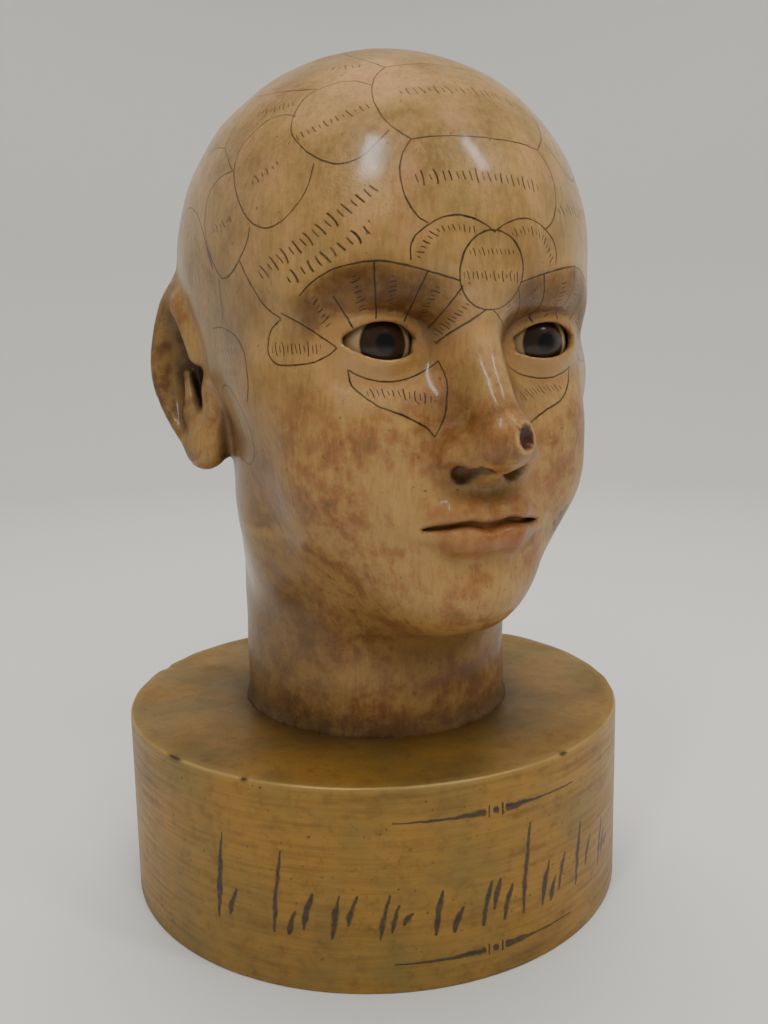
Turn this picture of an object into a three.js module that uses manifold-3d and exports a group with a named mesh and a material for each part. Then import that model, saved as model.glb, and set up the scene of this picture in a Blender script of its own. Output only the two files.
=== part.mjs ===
// A phrenology head: a bald carved head with its neck, on a round plinth, with inset glass eyes.
// Millimetres, +Z up, the face towards -Y, the origin in the middle of the plinth's underside.

import * as THREE from "three";
import { mergeVertices } from "three/addons/utils/BufferGeometryUtils.js";
import Module from "manifold-3d";

const wasm = await Module();
wasm.setup();

// Driving dimensions.
const plinthDiameter = 204;
const plinthHeight = 74;
const plinthTopRounding = 1.6;      // the worn upper edge
const plinthFootRounding = 0.8;
const headHeight = 252;             // from the neck's foot to the crown
const glassGap = 0.3;               // between each glass eye and its socket

// How finely the free forms are faceted.
const plinthSides = 72;
const eyeSides = 16;
const earSpokes = 24;
const earRings = 6;

// The head is modelled like clay: its forms are drawn at this height and scaled to headHeight.
// x runs out from the middle to either side, f runs forward, z up from the neck's foot.
const drawnHeight = 252;
const scale = headHeight / drawnHeight;
const skullForward = 17;            // the skull's middle, ahead of the neck's axis
const mouthHeight = 85;
const eye = { x: 29.5, f: skullForward + 57.5, z: 143, r: 14.2 };
const slitShape = { half: 14, upper: 6.3, lower: 4.9, tilt: THREE.MathUtils.degToRad(4) };
const earPlace = { x: 64.5, f: skullForward - 13, z: 136 };
const earTurn = { flare: THREE.MathUtils.degToRad(30), lean: THREE.MathUtils.degToRad(10) };
const earSize = { middleOut: 10.4, halfWide: 19.2, halfTall: 35.5, thick: 5.2 };
const noseRoot = { centre: [0, skullForward + 84, 125], radii: [20, 28, 27] };
const nostril = { centre: [6.2, skullForward + 88.5, 101.5], radii: [3.3, 6, 5] };
const noseChip = { centre: [4.4, skullForward + 103.6, 114], radii: [4, 4, 4] };

// Distances in millimetres, negative inside the clay.

function egg(p, centre, radii) {
  const q = p.map((value, i) => (value - centre[i]) / radii[i]);
  const near = Math.hypot(...q);
  const slope = Math.hypot(...q.map((value, i) => value / radii[i]));
  return (near * (near - 1)) / Math.max(slope, 1e-6);
}

function roll(p, from, to, fromRadius, toRadius) {
  const along = to.map((value, i) => value - from[i]);
  const back = p.map((value, i) => value - from[i]);
  const dot = back.reduce((sum, value, i) => sum + value * along[i], 0);
  const share = THREE.MathUtils.clamp(dot / along.reduce((sum, value) => sum + value * value, 0), 0, 1);
  const off = Math.hypot(...back.map((value, i) => value - share * along[i]));
  return off - THREE.MathUtils.lerp(fromRadius, toRadius, share);
}

function join(a, b, soft) {
  const overlap = Math.max(soft - Math.abs(a - b), 0) / soft;
  return Math.min(a, b) - (overlap * overlap * soft) / 4;
}

function carve(a, b, soft) {
  return -join(-a, b, soft);
}

function skull(p) {
  const F = skullForward;
  const crown = egg(p, [0, F - 8.5, 176], [76, 80, 76]);
  const forehead = egg(p, [0, F + 30.5, 173], [57, 57, 59]);
  const backOfHead = egg(p, [0, F - 41, 153], [61.5, 51, 56]);
  return join(join(crown, forehead, 26), backOfHead, 24);
}

function faceMass(p) {
  const F = skullForward;
  let d = egg(p, [0, F + 26, 117], [57, 55.5, 60]);
  d = join(d, roll(p, [38.5, F - 2, 92], [37, F + 6, 77], 14, 14), 18);      // behind the jaw
  d = join(d, roll(p, [36, F + 8, 75], [12, F + 57, 62], 14, 15), 17);       // jaw
  d = join(d, roll(p, [0, F + 9, 76], [0, F + 50, 70], 24, 22), 18);         // under the chin
  d = join(d, egg(p, [0, F + 53, 87], [34, 28.5, 27]), 15);                  // round the mouth
  d = join(d, egg(p, [0, F + 66, 60], [17.5, 15, 13.5]), 11);                // chin
  d = join(d, egg(p, [33, F + 46, 103], [24, 25, 28]), 13);                  // cheek
  d = join(d, roll(p, [32, F + 61, 124], [53, F + 35, 131], 10.5, 8), 18);   // cheekbone
  d = join(d, roll(p, [53, F + 35, 131], [60, F + 2, 136], 8, 6), 20);
  d = join(d, roll(p, [45, F + 20, 116], [40, F + 14, 86], 14, 13), 17);     // jaw muscle
  return join(d, roll(p, [34, F + 42, 86], [19, F + 55, 69], 13, 11), 15);
}

function neck([x, f, z]) {
  const round = (Math.hypot(x / 53.5, (f - 2.5) / 57) - 1) * 54;
  return carve(round, 122 - z, 20);
}

function nose(p) {
  const F = skullForward;
  let d = roll(p, [0, F + 74.5, 149], [0, F + 93, 116], 5.8, 6.8);           // bridge
  d = join(d, roll(p, [0, F + 67, 139], [0, F + 77, 112], 8.5, 12.5), 8);
  d = join(d, egg(p, [0, F + 95, 112], [8.4, 9, 7.6]), 5);                   // tip
  return join(d, egg(p, [11.2, F + 85, 107.5], [6.2, 9.2, 6.8]), 3.2);       // wing
}

function upperLip(p) {
  const F = skullForward;
  const M = mouthHeight;
  const middle = roll(p, [3.2, F + 84.8, M + 4.2], [11.5, F + 81.6, M + 3.8], 3.7, 3.5);
  return join(middle, roll(p, [11.5, F + 81.6, M + 3.6], [24.5, F + 72.3, M + 0.4], 3.4, 1.6), 4);
}

function lowerLip(p) {
  const F = skullForward;
  const M = mouthHeight;
  const middle = roll(p, [0, F + 83.2, M - 4.8], [9.5, F + 81.2, M - 4.2], 4.7, 4.4);
  return join(middle, roll(p, [9.5, F + 81.2, M - 4], [23, F + 72.3, M - 0.8], 4.3, 1.8), 4);
}

function mouthGroove([x, f, z]) {
  const dip = 0.8 * Math.exp(-((x / 3.8) ** 2));
  const bow = 0.9 * Math.exp(-(((x - 8.5) / 6.5) ** 2));
  const height = mouthHeight - dip + bow - 0.0022 * x * x;
  const front = skullForward + 86.6 - 0.0245 * x * x;
  const radius = 1.9 * Math.sqrt(Math.max(1 - (x / 27) ** 2, 0)) - 0.3;
  return Math.hypot((z - height) * 0.9, (f - front) / 2.4) - radius;
}

// The head without its ears, its nose and the openings of the eyes.
function clay([side, f, z]) {
  const F = skullForward;
  const p = [Math.abs(side), f, z];
  let d = join(skull(p), faceMass(p), 18);
  d = join(d, neck(p), 24);
  d = carve(d, egg(p, [28.5, F + 84.5, 142.5], [21.5, 19, 14.5]), 14);       // eye sockets
  d = join(d, roll(p, [7.5, F + 74.5, 160], [28, F + 69.5, 163], 5.5, 5.5), 12);
  d = join(d, roll(p, [28, F + 69.5, 163], [47, F + 52.5, 157], 5.5, 4.5), 12);
  d = join(d, egg(p, [eye.x, eye.f, eye.z], [eye.r + 3.4, eye.r + 2.8, eye.r + 3]), 4);
  d = join(d, upperLip(p), 5);
  d = join(d, lowerLip(p), 5);
  d = carve(d, roll(p, [0, F + 89, 98], [0, F + 90, 92], 2, 1.7), 5);        // under the nose
  return carve(d, mouthGroove(p), 2.2);
}

// The nose with the clay round its root.
function noseAndRoot([side, f, z]) {
  const p = [Math.abs(side), f, z];
  let d = join(clay([side, f, z]), nose(p), 7);
  d = join(d, roll(p, [0, skullForward + 94, 106.5], [0, skullForward + 82.5, 101.5], 3.2, 3.8), 3);
  return Math.max(d, egg(p, noseRoot.centre, noseRoot.radii));
}

// The ear in its own frame: out from its root, up, and towards the hearer's side.
function earMiddle(up) {
  return earSize.middleOut - 3.5 * THREE.MathUtils.clamp(-up / 36, 0, 1);
}

function earHalfWidth(up) {
  return earSize.halfWide * (1 - 0.28 * THREE.MathUtils.clamp((-up - 2) / 34, 0, 1) ** 1.3);
}

function earDish(out, up) {
  return -1 + 0.006 * (out - 12) ** 2 + 0.0012 * up * up;
}

function ear([out, up, face]) {
  const reach = Math.hypot((out - earMiddle(up)) / earHalfWidth(up), (up - 0.5) / earSize.halfTall);
  const edge = (reach - 1) * 23;
  const lift = face - earDish(out, up);
  const p = [out, up, face];
  let d = Math.max(Math.abs(lift) - earSize.thick / 2, edge);
  d = join(d, egg(p, [4, -3, -6], [14, 21, 9]), 6);                          // root
  const full = THREE.MathUtils.clamp((up + 30) / 30, 0, 1);
  d = join(d, Math.hypot(edge + 3.2, lift - 2.8) - (2.3 + 1.7 * full), 3);   // rolled rim
  d = carve(d, egg(p, [7, -4, 6], [9.5, 16, 8]), 3);                         // bowl
  const furrow = Math.hypot((reach - 0.74) * 18, lift - 2.6) - 2.4;
  d = carve(d, Math.max(furrow, -up - 16), 2.5);
  const inner = Math.hypot((out - 7.5) / 12, (up - 0.5) / 21.5);
  d = join(d, Math.max(Math.hypot((inner - 1) * 14, lift - 1.8) - 2.6, 6 - out), 3);
  d = join(d, egg(p, [-2.5, -9, 3], [4.5, 7, 4.5]), 4);                      // flap before the bowl
  return join(d, egg(p, [6.5, -28.5, 1.2], [8.5, 8.5, 4.5]), 5);             // lobe
}

// Where a line from outside the clay first meets it, on its way to a point inside.
function strike(field, outside, inside) {
  const at = (share) => outside.map((value, i) => THREE.MathUtils.lerp(value, inside[i], share));
  const length = Math.hypot(...outside.map((value, i) => value - inside[i]));
  let free = 0;
  let share = 0;
  let distance = field(at(share));
  while (distance > 0 && share < 1) {
    free = share;
    share = Math.min(1, share + Math.max(0.6 * distance, 0.3) / length);
    distance = field(at(share));
  }
  let caught = share;
  for (let i = 0; i < 8; i += 1) {
    const middle = (free + caught) / 2;
    if (field(at(middle)) > 0) free = middle;
    else caught = middle;
  }
  return at(caught);
}

function closedSolid(points, faces) {
  const mesh = new wasm.Mesh({
    numProp: 3,
    vertProperties: new Float32Array(points.flat()),
    triVerts: new Uint32Array(faces.flat()),
  });
  return new wasm.Manifold(mesh);
}

// Rings of points between two end points, turning as seen from the second end.
function capAndRings(rings, first, last) {
  const around = rings[0].length;
  const points = [first, ...rings.flat(), last];
  const index = (ring, step) => 1 + ring * around + (step % around);
  const faces = [];
  for (let step = 0; step < around; step += 1) {
    faces.push([0, index(0, step + 1), index(0, step)]);
    for (let ring = 0; ring + 1 < rings.length; ring += 1) {
      const quad = [index(ring, step), index(ring, step + 1), index(ring + 1, step + 1), index(ring + 1, step)];
      faces.push([quad[0], quad[1], quad[2]], [quad[0], quad[2], quad[3]]);
    }
    faces.push([points.length - 1, index(rings.length - 1, step), index(rings.length - 1, step + 1)]);
  }
  return closedSolid(points, faces);
}

// Values from one to the next, each stretch with its own step.
function stretches(start, ...pieces) {
  const values = [start];
  for (const [end, step] of pieces) {
    const begin = values[values.length - 1];
    const count = Math.max(1, Math.round(Math.abs(end - begin) / step));
    for (let i = 1; i <= count; i += 1) values.push(begin + ((end - begin) * i) / count);
  }
  return values;
}

// From clay to the model: scaled, facing -Y, standing on the plinth.
function placed([side, f, z]) {
  return [side * scale, -f * scale, plinthHeight + z * scale];
}

// The head is struck along lines towards its middle: level ones from the eyes down to the mouth,
// and slanting ones above and below, closest together over the face.
function headSolid() {
  const heart = { f: skullForward + 8, high: 131, low: 82 };
  const reach = 260;
  const below = stretches(-78, [-36, 8], [0, 3.8]).slice(0, -1).map((slope) => ({ z: heart.low, slope }));
  const level = stretches(heart.low, [mouthHeight, 3], [heart.high, 3]).map((z) => ({ z, slope: 0 }));
  const above = stretches(0, [31, 3], [82, 7]).slice(1).map((slope) => ({ z: heart.high, slope }));
  const half = stretches(0, [36, 2.7], [90, 6.5], [180, 11]);
  const turns = [...half, ...half.slice(1, -1).reverse().map((turn) => -turn)];
  const hit = ({ z, slope }, turn) => {
    const [up, round] = [slope, turn].map(THREE.MathUtils.degToRad);
    const away = reach * Math.cos(up);
    const outside = [away * Math.sin(round), heart.f + away * Math.cos(round), z + reach * Math.sin(up)];
    return placed(strike(clay, outside, [0, heart.f, z]));
  };
  const rings = [...below, ...level, ...above].map((row) => turns.map((turn) => hit(row, turn)));
  return capAndRings(rings, hit({ z: heart.low, slope: -90 }, 0), hit({ z: heart.high, slope: 90 }, 0));
}

// The nose is struck from all round, towards its own middle.
function noseSolid() {
  const heart = [0, skullForward + 84, 113];
  const reach = 60;
  const slopes = stretches(-78, [78, 12]).map(THREE.MathUtils.degToRad);
  const turns = stretches(0, [360, 15]).slice(0, -1).map(THREE.MathUtils.degToRad);
  const hit = (slope, turn) => {
    const away = reach * Math.cos(slope);
    const point = [away * Math.sin(turn), away * Math.cos(turn), reach * Math.sin(slope)];
    return placed(strike(noseAndRoot, point.map((value, i) => heart[i] + value), heart));
  };
  const rings = slopes.map((slope) => turns.map((turn) => hit(slope, turn)));
  return capAndRings(rings, hit(-Math.PI / 2, 0), hit(Math.PI / 2, 0));
}

// A small hollow, such as a nostril.
function eggTool({ centre, radii }, side) {
  const geometry = new THREE.SphereGeometry(1, 10, 7);
  geometry.scale(...radii.map((value) => value * scale));
  return solidOf(geometry.translate(...placed([side * centre[0], centre[1], centre[2]])));
}

// From the ear's own frame to the clay's; the ear is turned out from the head and leans back.
function earToClay([out, up, face], side) {
  const { flare, lean } = earTurn;
  const x = out * Math.sin(flare) + face * Math.cos(flare);
  const along = -out * Math.cos(flare) + face * Math.sin(flare);
  const f = along * Math.cos(lean) - up * Math.sin(lean);
  const z = along * Math.sin(lean) + up * Math.cos(lean);
  return [side * (earPlace.x + x), earPlace.f + f, earPlace.z + z];
}

// Each ear has a face and a back, struck across its dish on spokes from its middle.
function earSolid(side) {
  const shares = Array.from({ length: earRings }, (_, i) => (i + 1) / (earRings + 0.6));
  const spot = (share, angle) => {
    const up = 0.5 + share * earSize.halfTall * Math.sin(angle);
    const out = earMiddle(up) + share * earHalfWidth(up) * Math.cos(angle);
    return [out, up];
  };
  const across = (share, angle, far) => {
    const [out, up] = spot(share, angle);
    const middle = earDish(out, up) - 1.4;
    return strike(ear, [out, up, middle + far], [out, up, middle]);
  };
  const rimPoint = (angle) => {
    const start = spot(1.4, angle);
    const end = spot(0.9, angle);
    return strike(ear, [...start, earDish(...end) + 1.4], [...end, earDish(...end) + 1.4]);
  };
  const angles = Array.from({ length: earSpokes }, (_, i) => (i / earSpokes) * 2 * Math.PI);
  const ring = (points) => points.map((point) => placed(earToClay(point, side)));
  const backs = shares.map((share) => ring(angles.map((angle) => across(share, angle, -30))));
  const faces = shares.map((share) => ring(angles.map((angle) => across(share, angle, 30))));
  const rings = [...backs, ring(angles.map(rimPoint)), ...faces.reverse()];
  const ends = [-30, 30].map((far) => placed(earToClay(across(0, 0, far), side)));
  if (side > 0) return capAndRings(rings, ends[0], ends[1]);
  return capAndRings(rings.map((points) => [...points].reverse()), ends[0], ends[1]);
}

// A three.js geometry as a solid that can be joined and cut.
function solidOf(geometry) {
  const bare = geometry.clone();
  bare.deleteAttribute("normal");
  bare.deleteAttribute("uv");
  const merged = mergeVertices(bare, 1e-4);
  const mesh = new wasm.Mesh({
    numProp: 3,
    vertProperties: merged.attributes.position.array,
    triVerts: new Uint32Array(merged.index.array),
  });
  return new wasm.Manifold(mesh);
}

function geometryOf(solid) {
  const mesh = solid.getMesh();
  const geometry = new THREE.BufferGeometry();
  geometry.setAttribute("position", new THREE.BufferAttribute(mesh.vertProperties, 3));
  geometry.setIndex(new THREE.BufferAttribute(mesh.triVerts, 1));
  geometry.computeVertexNormals();
  return geometry;
}

function eyeCentre(side) {
  return placed([side * eye.x, eye.f, eye.z]);
}

// A ball whose poles lie fore and aft, so that its rings follow the iris.
function ball(radius) {
  const geometry = new THREE.SphereGeometry(radius, eyeSides, Math.round(eyeSides * 0.6));
  geometry.rotateX(Math.PI / 2);
  return geometry;
}

// The almond between the lids, two arcs that meet at the corners, run forward from the ball's middle.
function slitTool(side) {
  const { half, upper, lower, tilt } = slitShape;
  const steps = 7;
  const outline = [];
  const arc = (rise, sign) => {
    const radius = (half * half + rise * rise) / (2 * rise);
    const spread = Math.asin(half / radius);
    for (let i = 0; i < steps; i += 1) {
      const angle = sign * (-spread + (2 * spread * i) / steps);
      outline.push(new THREE.Vector2(radius * Math.sin(angle), sign * (radius * Math.cos(angle) - radius + rise)));
    }
  };
  arc(upper, 1);
  arc(lower, -1);
  const depth = 30 * scale;
  const shape = new THREE.Shape(outline.map((point) => point.multiplyScalar(scale)));
  const geometry = new THREE.ExtrudeGeometry(shape, { depth, bevelEnabled: false });
  geometry.rotateZ(side * tilt);
  geometry.rotateX(Math.PI / 2);
  geometry.translate(...eyeCentre(side));
  return solidOf(geometry);
}

function socketTool(side) {
  return solidOf(ball(eye.r * scale + glassGap).translate(...eyeCentre(side)));
}

function belowPlinthTop() {
  const size = 2 * headHeight;
  return solidOf(new THREE.BoxGeometry(size, size, size).translate(0, 0, plinthHeight - size / 2));
}

function makeHead() {
  let solid = headSolid().add(noseSolid());
  for (const side of [-1, 1]) {
    solid = solid.add(earSolid(side));
    solid = solid.subtract(eggTool(nostril, side));
    solid = solid.subtract(socketTool(side));
    solid = solid.subtract(slitTool(side));
  }
  solid = solid.subtract(eggTool(noseChip, 1));
  return geometryOf(solid.subtract(belowPlinthTop()));
}

function makePlinth() {
  const radius = plinthDiameter / 2;
  const profile = [new THREE.Vector2(0, 0), new THREE.Vector2(radius - plinthFootRounding, 0)];
  profile.push(new THREE.Vector2(radius, plinthFootRounding));
  const steps = 2;
  for (let i = 0; i <= steps; i += 1) {
    const angle = (Math.PI / 2) * (i / steps);
    const out = radius - plinthTopRounding * (1 - Math.cos(angle));
    profile.push(new THREE.Vector2(out, plinthHeight - plinthTopRounding * (1 - Math.sin(angle))));
  }
  profile.push(new THREE.Vector2(0, plinthHeight));
  const geometry = new THREE.LatheGeometry(profile, plinthSides);
  geometry.rotateX(Math.PI / 2);
  return geometryOf(solidOf(geometry));
}

const varnishedSkin = new THREE.MeshStandardMaterial({ color: "#b08a58", roughness: 0.42, metalness: 0 });
const bronzePaint = new THREE.MeshStandardMaterial({ color: "#8a7132", roughness: 0.5, metalness: 0.35 });
const eyeGlass = new THREE.MeshStandardMaterial({ color: "#2a1a12", roughness: 0.08, metalness: 0 });

const group = new THREE.Group();

function addPiece(name, geometry, material) {
  const mesh = new THREE.Mesh(geometry, material);
  mesh.name = name;
  group.add(mesh);
  return mesh;
}

addPiece("plinth", makePlinth(), bronzePaint);
addPiece("head", makeHead(), varnishedSkin);
for (const [side, name] of [[-1, "eye_right"], [1, "eye_left"]]) {
  addPiece(name, ball(eye.r * scale), eyeGlass).position.set(...eyeCentre(side));
}

export default group;
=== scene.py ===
from math import radians, cos, sin, tau

import bpy
import numpy as np
from mathutils import Matrix, Vector
from mathutils.kdtree import KDTree


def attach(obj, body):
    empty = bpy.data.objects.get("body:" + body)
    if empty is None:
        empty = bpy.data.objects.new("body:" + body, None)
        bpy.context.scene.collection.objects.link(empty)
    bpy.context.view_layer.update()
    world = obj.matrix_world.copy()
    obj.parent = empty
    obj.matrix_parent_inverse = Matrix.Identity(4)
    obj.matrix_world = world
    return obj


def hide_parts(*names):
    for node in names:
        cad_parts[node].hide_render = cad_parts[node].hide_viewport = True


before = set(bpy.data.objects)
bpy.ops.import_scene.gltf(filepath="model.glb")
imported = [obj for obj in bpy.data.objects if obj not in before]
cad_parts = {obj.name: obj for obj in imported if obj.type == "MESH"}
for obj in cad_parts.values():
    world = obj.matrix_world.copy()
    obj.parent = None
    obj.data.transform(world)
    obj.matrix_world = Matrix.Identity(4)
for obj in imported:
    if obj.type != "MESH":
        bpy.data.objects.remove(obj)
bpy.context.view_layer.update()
print('frame loaded')


def linear(hexCode):
    parts = [int(hexCode[i:i + 2], 16) / 255 for i in (1, 3, 5)]
    return [p / 12.92 if p <= 0.04045 else ((p + 0.055) / 1.055) ** 2.4 for p in parts] + [1.0]


def addNode(tree, kind, sockets=None, **settings):
    # a socket is named, or numbered, and takes a value, another node or one of its outputs
    made = tree.nodes.new(kind)
    for name, value in settings.items():
        setattr(made, name, value)
    for key, value in (sockets or {}).items():
        if isinstance(key, int):
            socket = made.inputs[key]
        else:
            socket = next(s for s in made.inputs if s.enabled and key in (s.name, s.identifier))
        if isinstance(value, bpy.types.Node):
            value = next(s for s in value.outputs if s.enabled)
        if isinstance(value, bpy.types.NodeSocket):
            tree.links.new(value, socket)
        else:
            socket.default_value = value
    return made


def scaleFor(millimetres):
    # a noise's scale for patches of a real size, as Object coordinates are in metres
    return 1000 / millimetres


def noise(tree, place, size, detail, rough=0.5):
    # size is in millimetres
    return addNode(tree, 'ShaderNodeTexNoise', {
        'Vector': place, 'Scale': scaleFor(size), 'Detail': detail, 'Roughness': rough})


def maths(tree, operation, *values):
    return addNode(tree, 'ShaderNodeMath', dict(enumerate(values)), operation=operation)


def ranged(tree, value, low, high, atLow, atHigh):
    return addNode(tree, 'ShaderNodeMapRange', {'Value': value, 1: low, 2: high, 3: atLow, 4: atHigh})


def washed(tree, tone, share, hexCode):
    # a second tone laid over the first, as strongly as share says
    return addNode(tree, 'ShaderNodeMix', {
        'Factor': share, 'A': tone, 'B': linear(hexCode)}, data_type='RGBA')


def ramp(tree, value, first, last, *between):
    # each stop is (place from 0 to 1, tone)
    made = addNode(tree, 'ShaderNodeValToRGB', {'Fac': value})
    stops = made.color_ramp.elements
    for stop, (position, hexCode) in zip(stops, (first, last)):
        stop.position = position
        stop.color = linear(hexCode)
    for position, hexCode in between:
        stops.new(position).color = linear(hexCode)
    return made


def channelsOf(tree, name):
    # the four values that storeColour keeps on a mesh's points
    read = addNode(tree, 'ShaderNodeAttribute', attribute_name=name)
    split = addNode(tree, 'ShaderNodeSeparateColor', {'Color': read.outputs['Color']})
    return [*split.outputs, read.outputs['Alpha']]


def meshPiece(name, points, faces):
    mesh = bpy.data.meshes.new(name)
    mesh.from_pydata(points.tolist(), [], faces.tolist())
    mesh.update()
    mesh.shade_smooth()
    piece = bpy.data.objects.new(name, mesh)
    bpy.context.scene.collection.objects.link(piece)
    return piece


def storeColour(mesh, name, channels):
    layer = mesh.attributes.new(name, 'FLOAT_COLOR', 'POINT')
    layer.data.foreach_set('color', np.stack(channels, 1).astype(np.float32).ravel())


def smoothLine(points, spacing, closed=False):
    # a curve through given points, read off at even steps
    points = np.array(points, float)
    if len(points) == 2:
        points = np.array([points[0], points.mean(0), points[1]])
    before = points[-1:] if closed else 2 * points[:1] - points[1:2]
    after = points[:2] if closed else 2 * points[-1:] - points[-2:-1]
    hold = np.concatenate([before, points, after])
    rows = []
    for i in range(1, len(hold) - 2):
        a, b, c, d = hold[i - 1:i + 3]
        t = np.linspace(0, 1, 25)[:-1, None]
        rows.append(b + (c - a) / 2 * t + (a - 2.5 * b + 2 * c - d / 2) * t ** 2
                    + (1.5 * (b - c) + (d - a) / 2) * t ** 3)
    rows.append(hold[-2:-1])
    fine = np.concatenate(rows)
    run = np.concatenate([[0], np.cumsum(np.linalg.norm(np.diff(fine, axis=0), axis=1))])
    count = max(int(run[-1] / spacing), 4)
    return np.stack([np.interp(np.linspace(0, run[-1], count + 1), run, fine[:, k])
                     for k in range(fine.shape[1])], 1)


# The head's form, in millimetres: side, forward from the middle, up from the plinth's top.

plinthTop = 74.0
skullForward = 17.0
mouthHeight = 85.0
eye = dict(x=29.5, f=skullForward + 57.5, z=143.0, r=14.2)
lids = dict(half=13.6, upper=6.5, lower=5.0, tilt=4.0, foldUp=10.2, foldDeep=0.9, foldWide=1.1)
earPlace = dict(x=64.5, f=skullForward - 13, z=136.0, flare=30.0, lean=10.0)
earSize = dict(middleOut=10.4, halfWide=19.2, halfTall=35.5, thick=5.2)
noseChip = dict(centre=(4.4, skullForward + 103.6, 114.0), radii=(4.0, 4.0, 4.0))
bareSpot = dict(centre=(40.5, skullForward + 63.5, 80.5), radii=(5.0, 5.0, 5.5))
skin = dict(waves=0.22, footFlare=1.4, footRough=0.25, footTop=7.0, sunk=1.5)


def egg(p, centre, radii):
    q = [(p[i] - centre[i]) / radii[i] for i in range(3)]
    near = np.sqrt(q[0] ** 2 + q[1] ** 2 + q[2] ** 2)
    slope = np.sqrt((q[0] / radii[0]) ** 2 + (q[1] / radii[1]) ** 2 + (q[2] / radii[2]) ** 2)
    return near * (near - 1) / np.maximum(slope, 1e-6)


def roll(p, start, end, startRadius, endRadius):
    along = [end[i] - start[i] for i in range(3)]
    back = [p[i] - start[i] for i in range(3)]
    share = sum(back[i] * along[i] for i in range(3)) / sum(value * value for value in along)
    share = np.clip(share, 0, 1)
    off = np.sqrt(sum((back[i] - share * along[i]) ** 2 for i in range(3)))
    return off - (startRadius + (endRadius - startRadius) * share)


def join(a, b, soft):
    overlap = np.maximum(soft - np.abs(a - b), 0) / soft
    return np.minimum(a, b) - overlap * overlap * soft / 4


def carve(a, b, soft):
    return -join(-a, b, soft)


def skull(p):
    F = skullForward
    crown = egg(p, (0, F - 8.5, 176), (76, 80, 76))
    forehead = egg(p, (0, F + 30.5, 173), (57, 57, 59))
    backOfHead = egg(p, (0, F - 41, 153), (61.5, 51, 56))
    return join(join(crown, forehead, 26), backOfHead, 24)


def faceMass(p):
    F = skullForward
    d = egg(p, (0, F + 26, 117), (57, 55.5, 60))
    d = join(d, roll(p, (38.5, F - 2, 92), (37, F + 6, 77), 14, 14), 18)
    d = join(d, roll(p, (36, F + 8, 75), (12, F + 57, 62), 14, 15), 17)
    d = join(d, roll(p, (0, F + 9, 76), (0, F + 50, 70), 24, 22), 18)
    d = join(d, egg(p, (0, F + 53, 87), (34, 28.5, 27)), 15)
    d = join(d, egg(p, (0, F + 66, 60), (17.5, 15, 13.5)), 11)
    d = join(d, egg(p, (33, F + 46, 103), (24, 25, 28)), 13)
    d = join(d, roll(p, (32, F + 61, 124), (53, F + 35, 131), 10.5, 8), 18)
    d = join(d, roll(p, (53, F + 35, 131), (60, F + 2, 136), 8, 6), 20)
    d = join(d, roll(p, (45, F + 20, 116), (40, F + 14, 86), 14, 13), 17)
    return join(d, roll(p, (34, F + 42, 86), (19, F + 55, 69), 13, 11), 15)


def neck(p):
    x, f, z = p
    around = (np.sqrt((x / 53.5) ** 2 + ((f - 2.5) / 57) ** 2) - 1) * 54
    low = np.clip(1 - z / skin['footTop'], 0, 1)
    ragged = np.sin(x * 0.31 + 2.1 * np.sin(f * 0.17)) * np.sin(f * 0.27 + 1.3 + 1.7 * np.sin(x * 0.13))
    around = around - low ** 2 * (skin['footFlare'] + skin['footRough'] * ragged)
    return carve(around, 122 - z, 20)


nostrilShape = ((5.6, skullForward + 91, 103.4), (9.2, skullForward + 84.5, 102.2), 3.2, 3.4)


def nose(p):
    F = skullForward
    d = roll(p, (0, F + 74.5, 149), (0, F + 93, 117), 5.6, 6.6)
    d = join(d, roll(p, (0, F + 67, 139), (0, F + 77.5, 112), 8.5, 12.5), 9)
    d = join(d, egg(p, (0, F + 94.6, 112.6), (8.8, 9.3, 7.8)), 7)
    d = join(d, roll(p, (4.5, F + 92, 110), (10, F + 85, 108), 5.5, 5.2), 5)
    return join(d, egg(p, (10.6, F + 83.5, 108), (6, 8.4, 6.6)), 5)


def upperLip(p):
    F, M = skullForward, mouthHeight
    middle = roll(p, (3.2, F + 84.8, M + 4.2), (11.5, F + 81.6, M + 3.8), 3.7, 3.5)
    return join(middle, roll(p, (11.5, F + 81.6, M + 3.6), (24.5, F + 72.3, M + 0.4), 3.4, 1.6), 4)


def lowerLip(p):
    F, M = skullForward, mouthHeight
    middle = roll(p, (0, F + 83.2, M - 4.8), (9.5, F + 81.2, M - 4.2), 4.7, 4.4)
    return join(middle, roll(p, (9.5, F + 81.2, M - 4), (23, F + 72.3, M - 0.8), 4.3, 1.8), 4)


def mouthGroove(p):
    x, f, z = p
    dip = 0.8 * np.exp(-(x / 3.8) ** 2)
    bow = 0.9 * np.exp(-((x - 8.5) / 6.5) ** 2)
    height = mouthHeight - dip + bow - 0.0022 * x * x
    front = skullForward + 86.6 - 0.0245 * x * x
    radius = 1.15 * np.sqrt(np.clip(1 - (x / 26) ** 2, 0, 1)) - 0.2
    return np.sqrt(((z - height) * 0.9) ** 2 + ((f - front) / 3.6) ** 2) - radius


def lidFrame(p):
    # across and up from the eye's middle, along the tilted lids
    t = radians(lids['tilt'])
    x, z = p[0] - eye['x'], p[2] - eye['z']
    return x * cos(t) + z * sin(t), z * cos(t) - x * sin(t)


def lidSlit(p):
    across, up = lidFrame(p)
    upperRadius = (lids['half'] ** 2 + lids['upper'] ** 2) / (2 * lids['upper'])
    lowerRadius = (lids['half'] ** 2 + lids['lower'] ** 2) / (2 * lids['lower'])
    top = np.sqrt(across ** 2 + (up - lids['upper'] + upperRadius) ** 2) - upperRadius
    bottom = np.sqrt(across ** 2 + (up - lowerRadius + lids['lower']) ** 2) - lowerRadius
    return np.maximum(np.maximum(top, bottom), eye['f'] - p[1])


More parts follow.
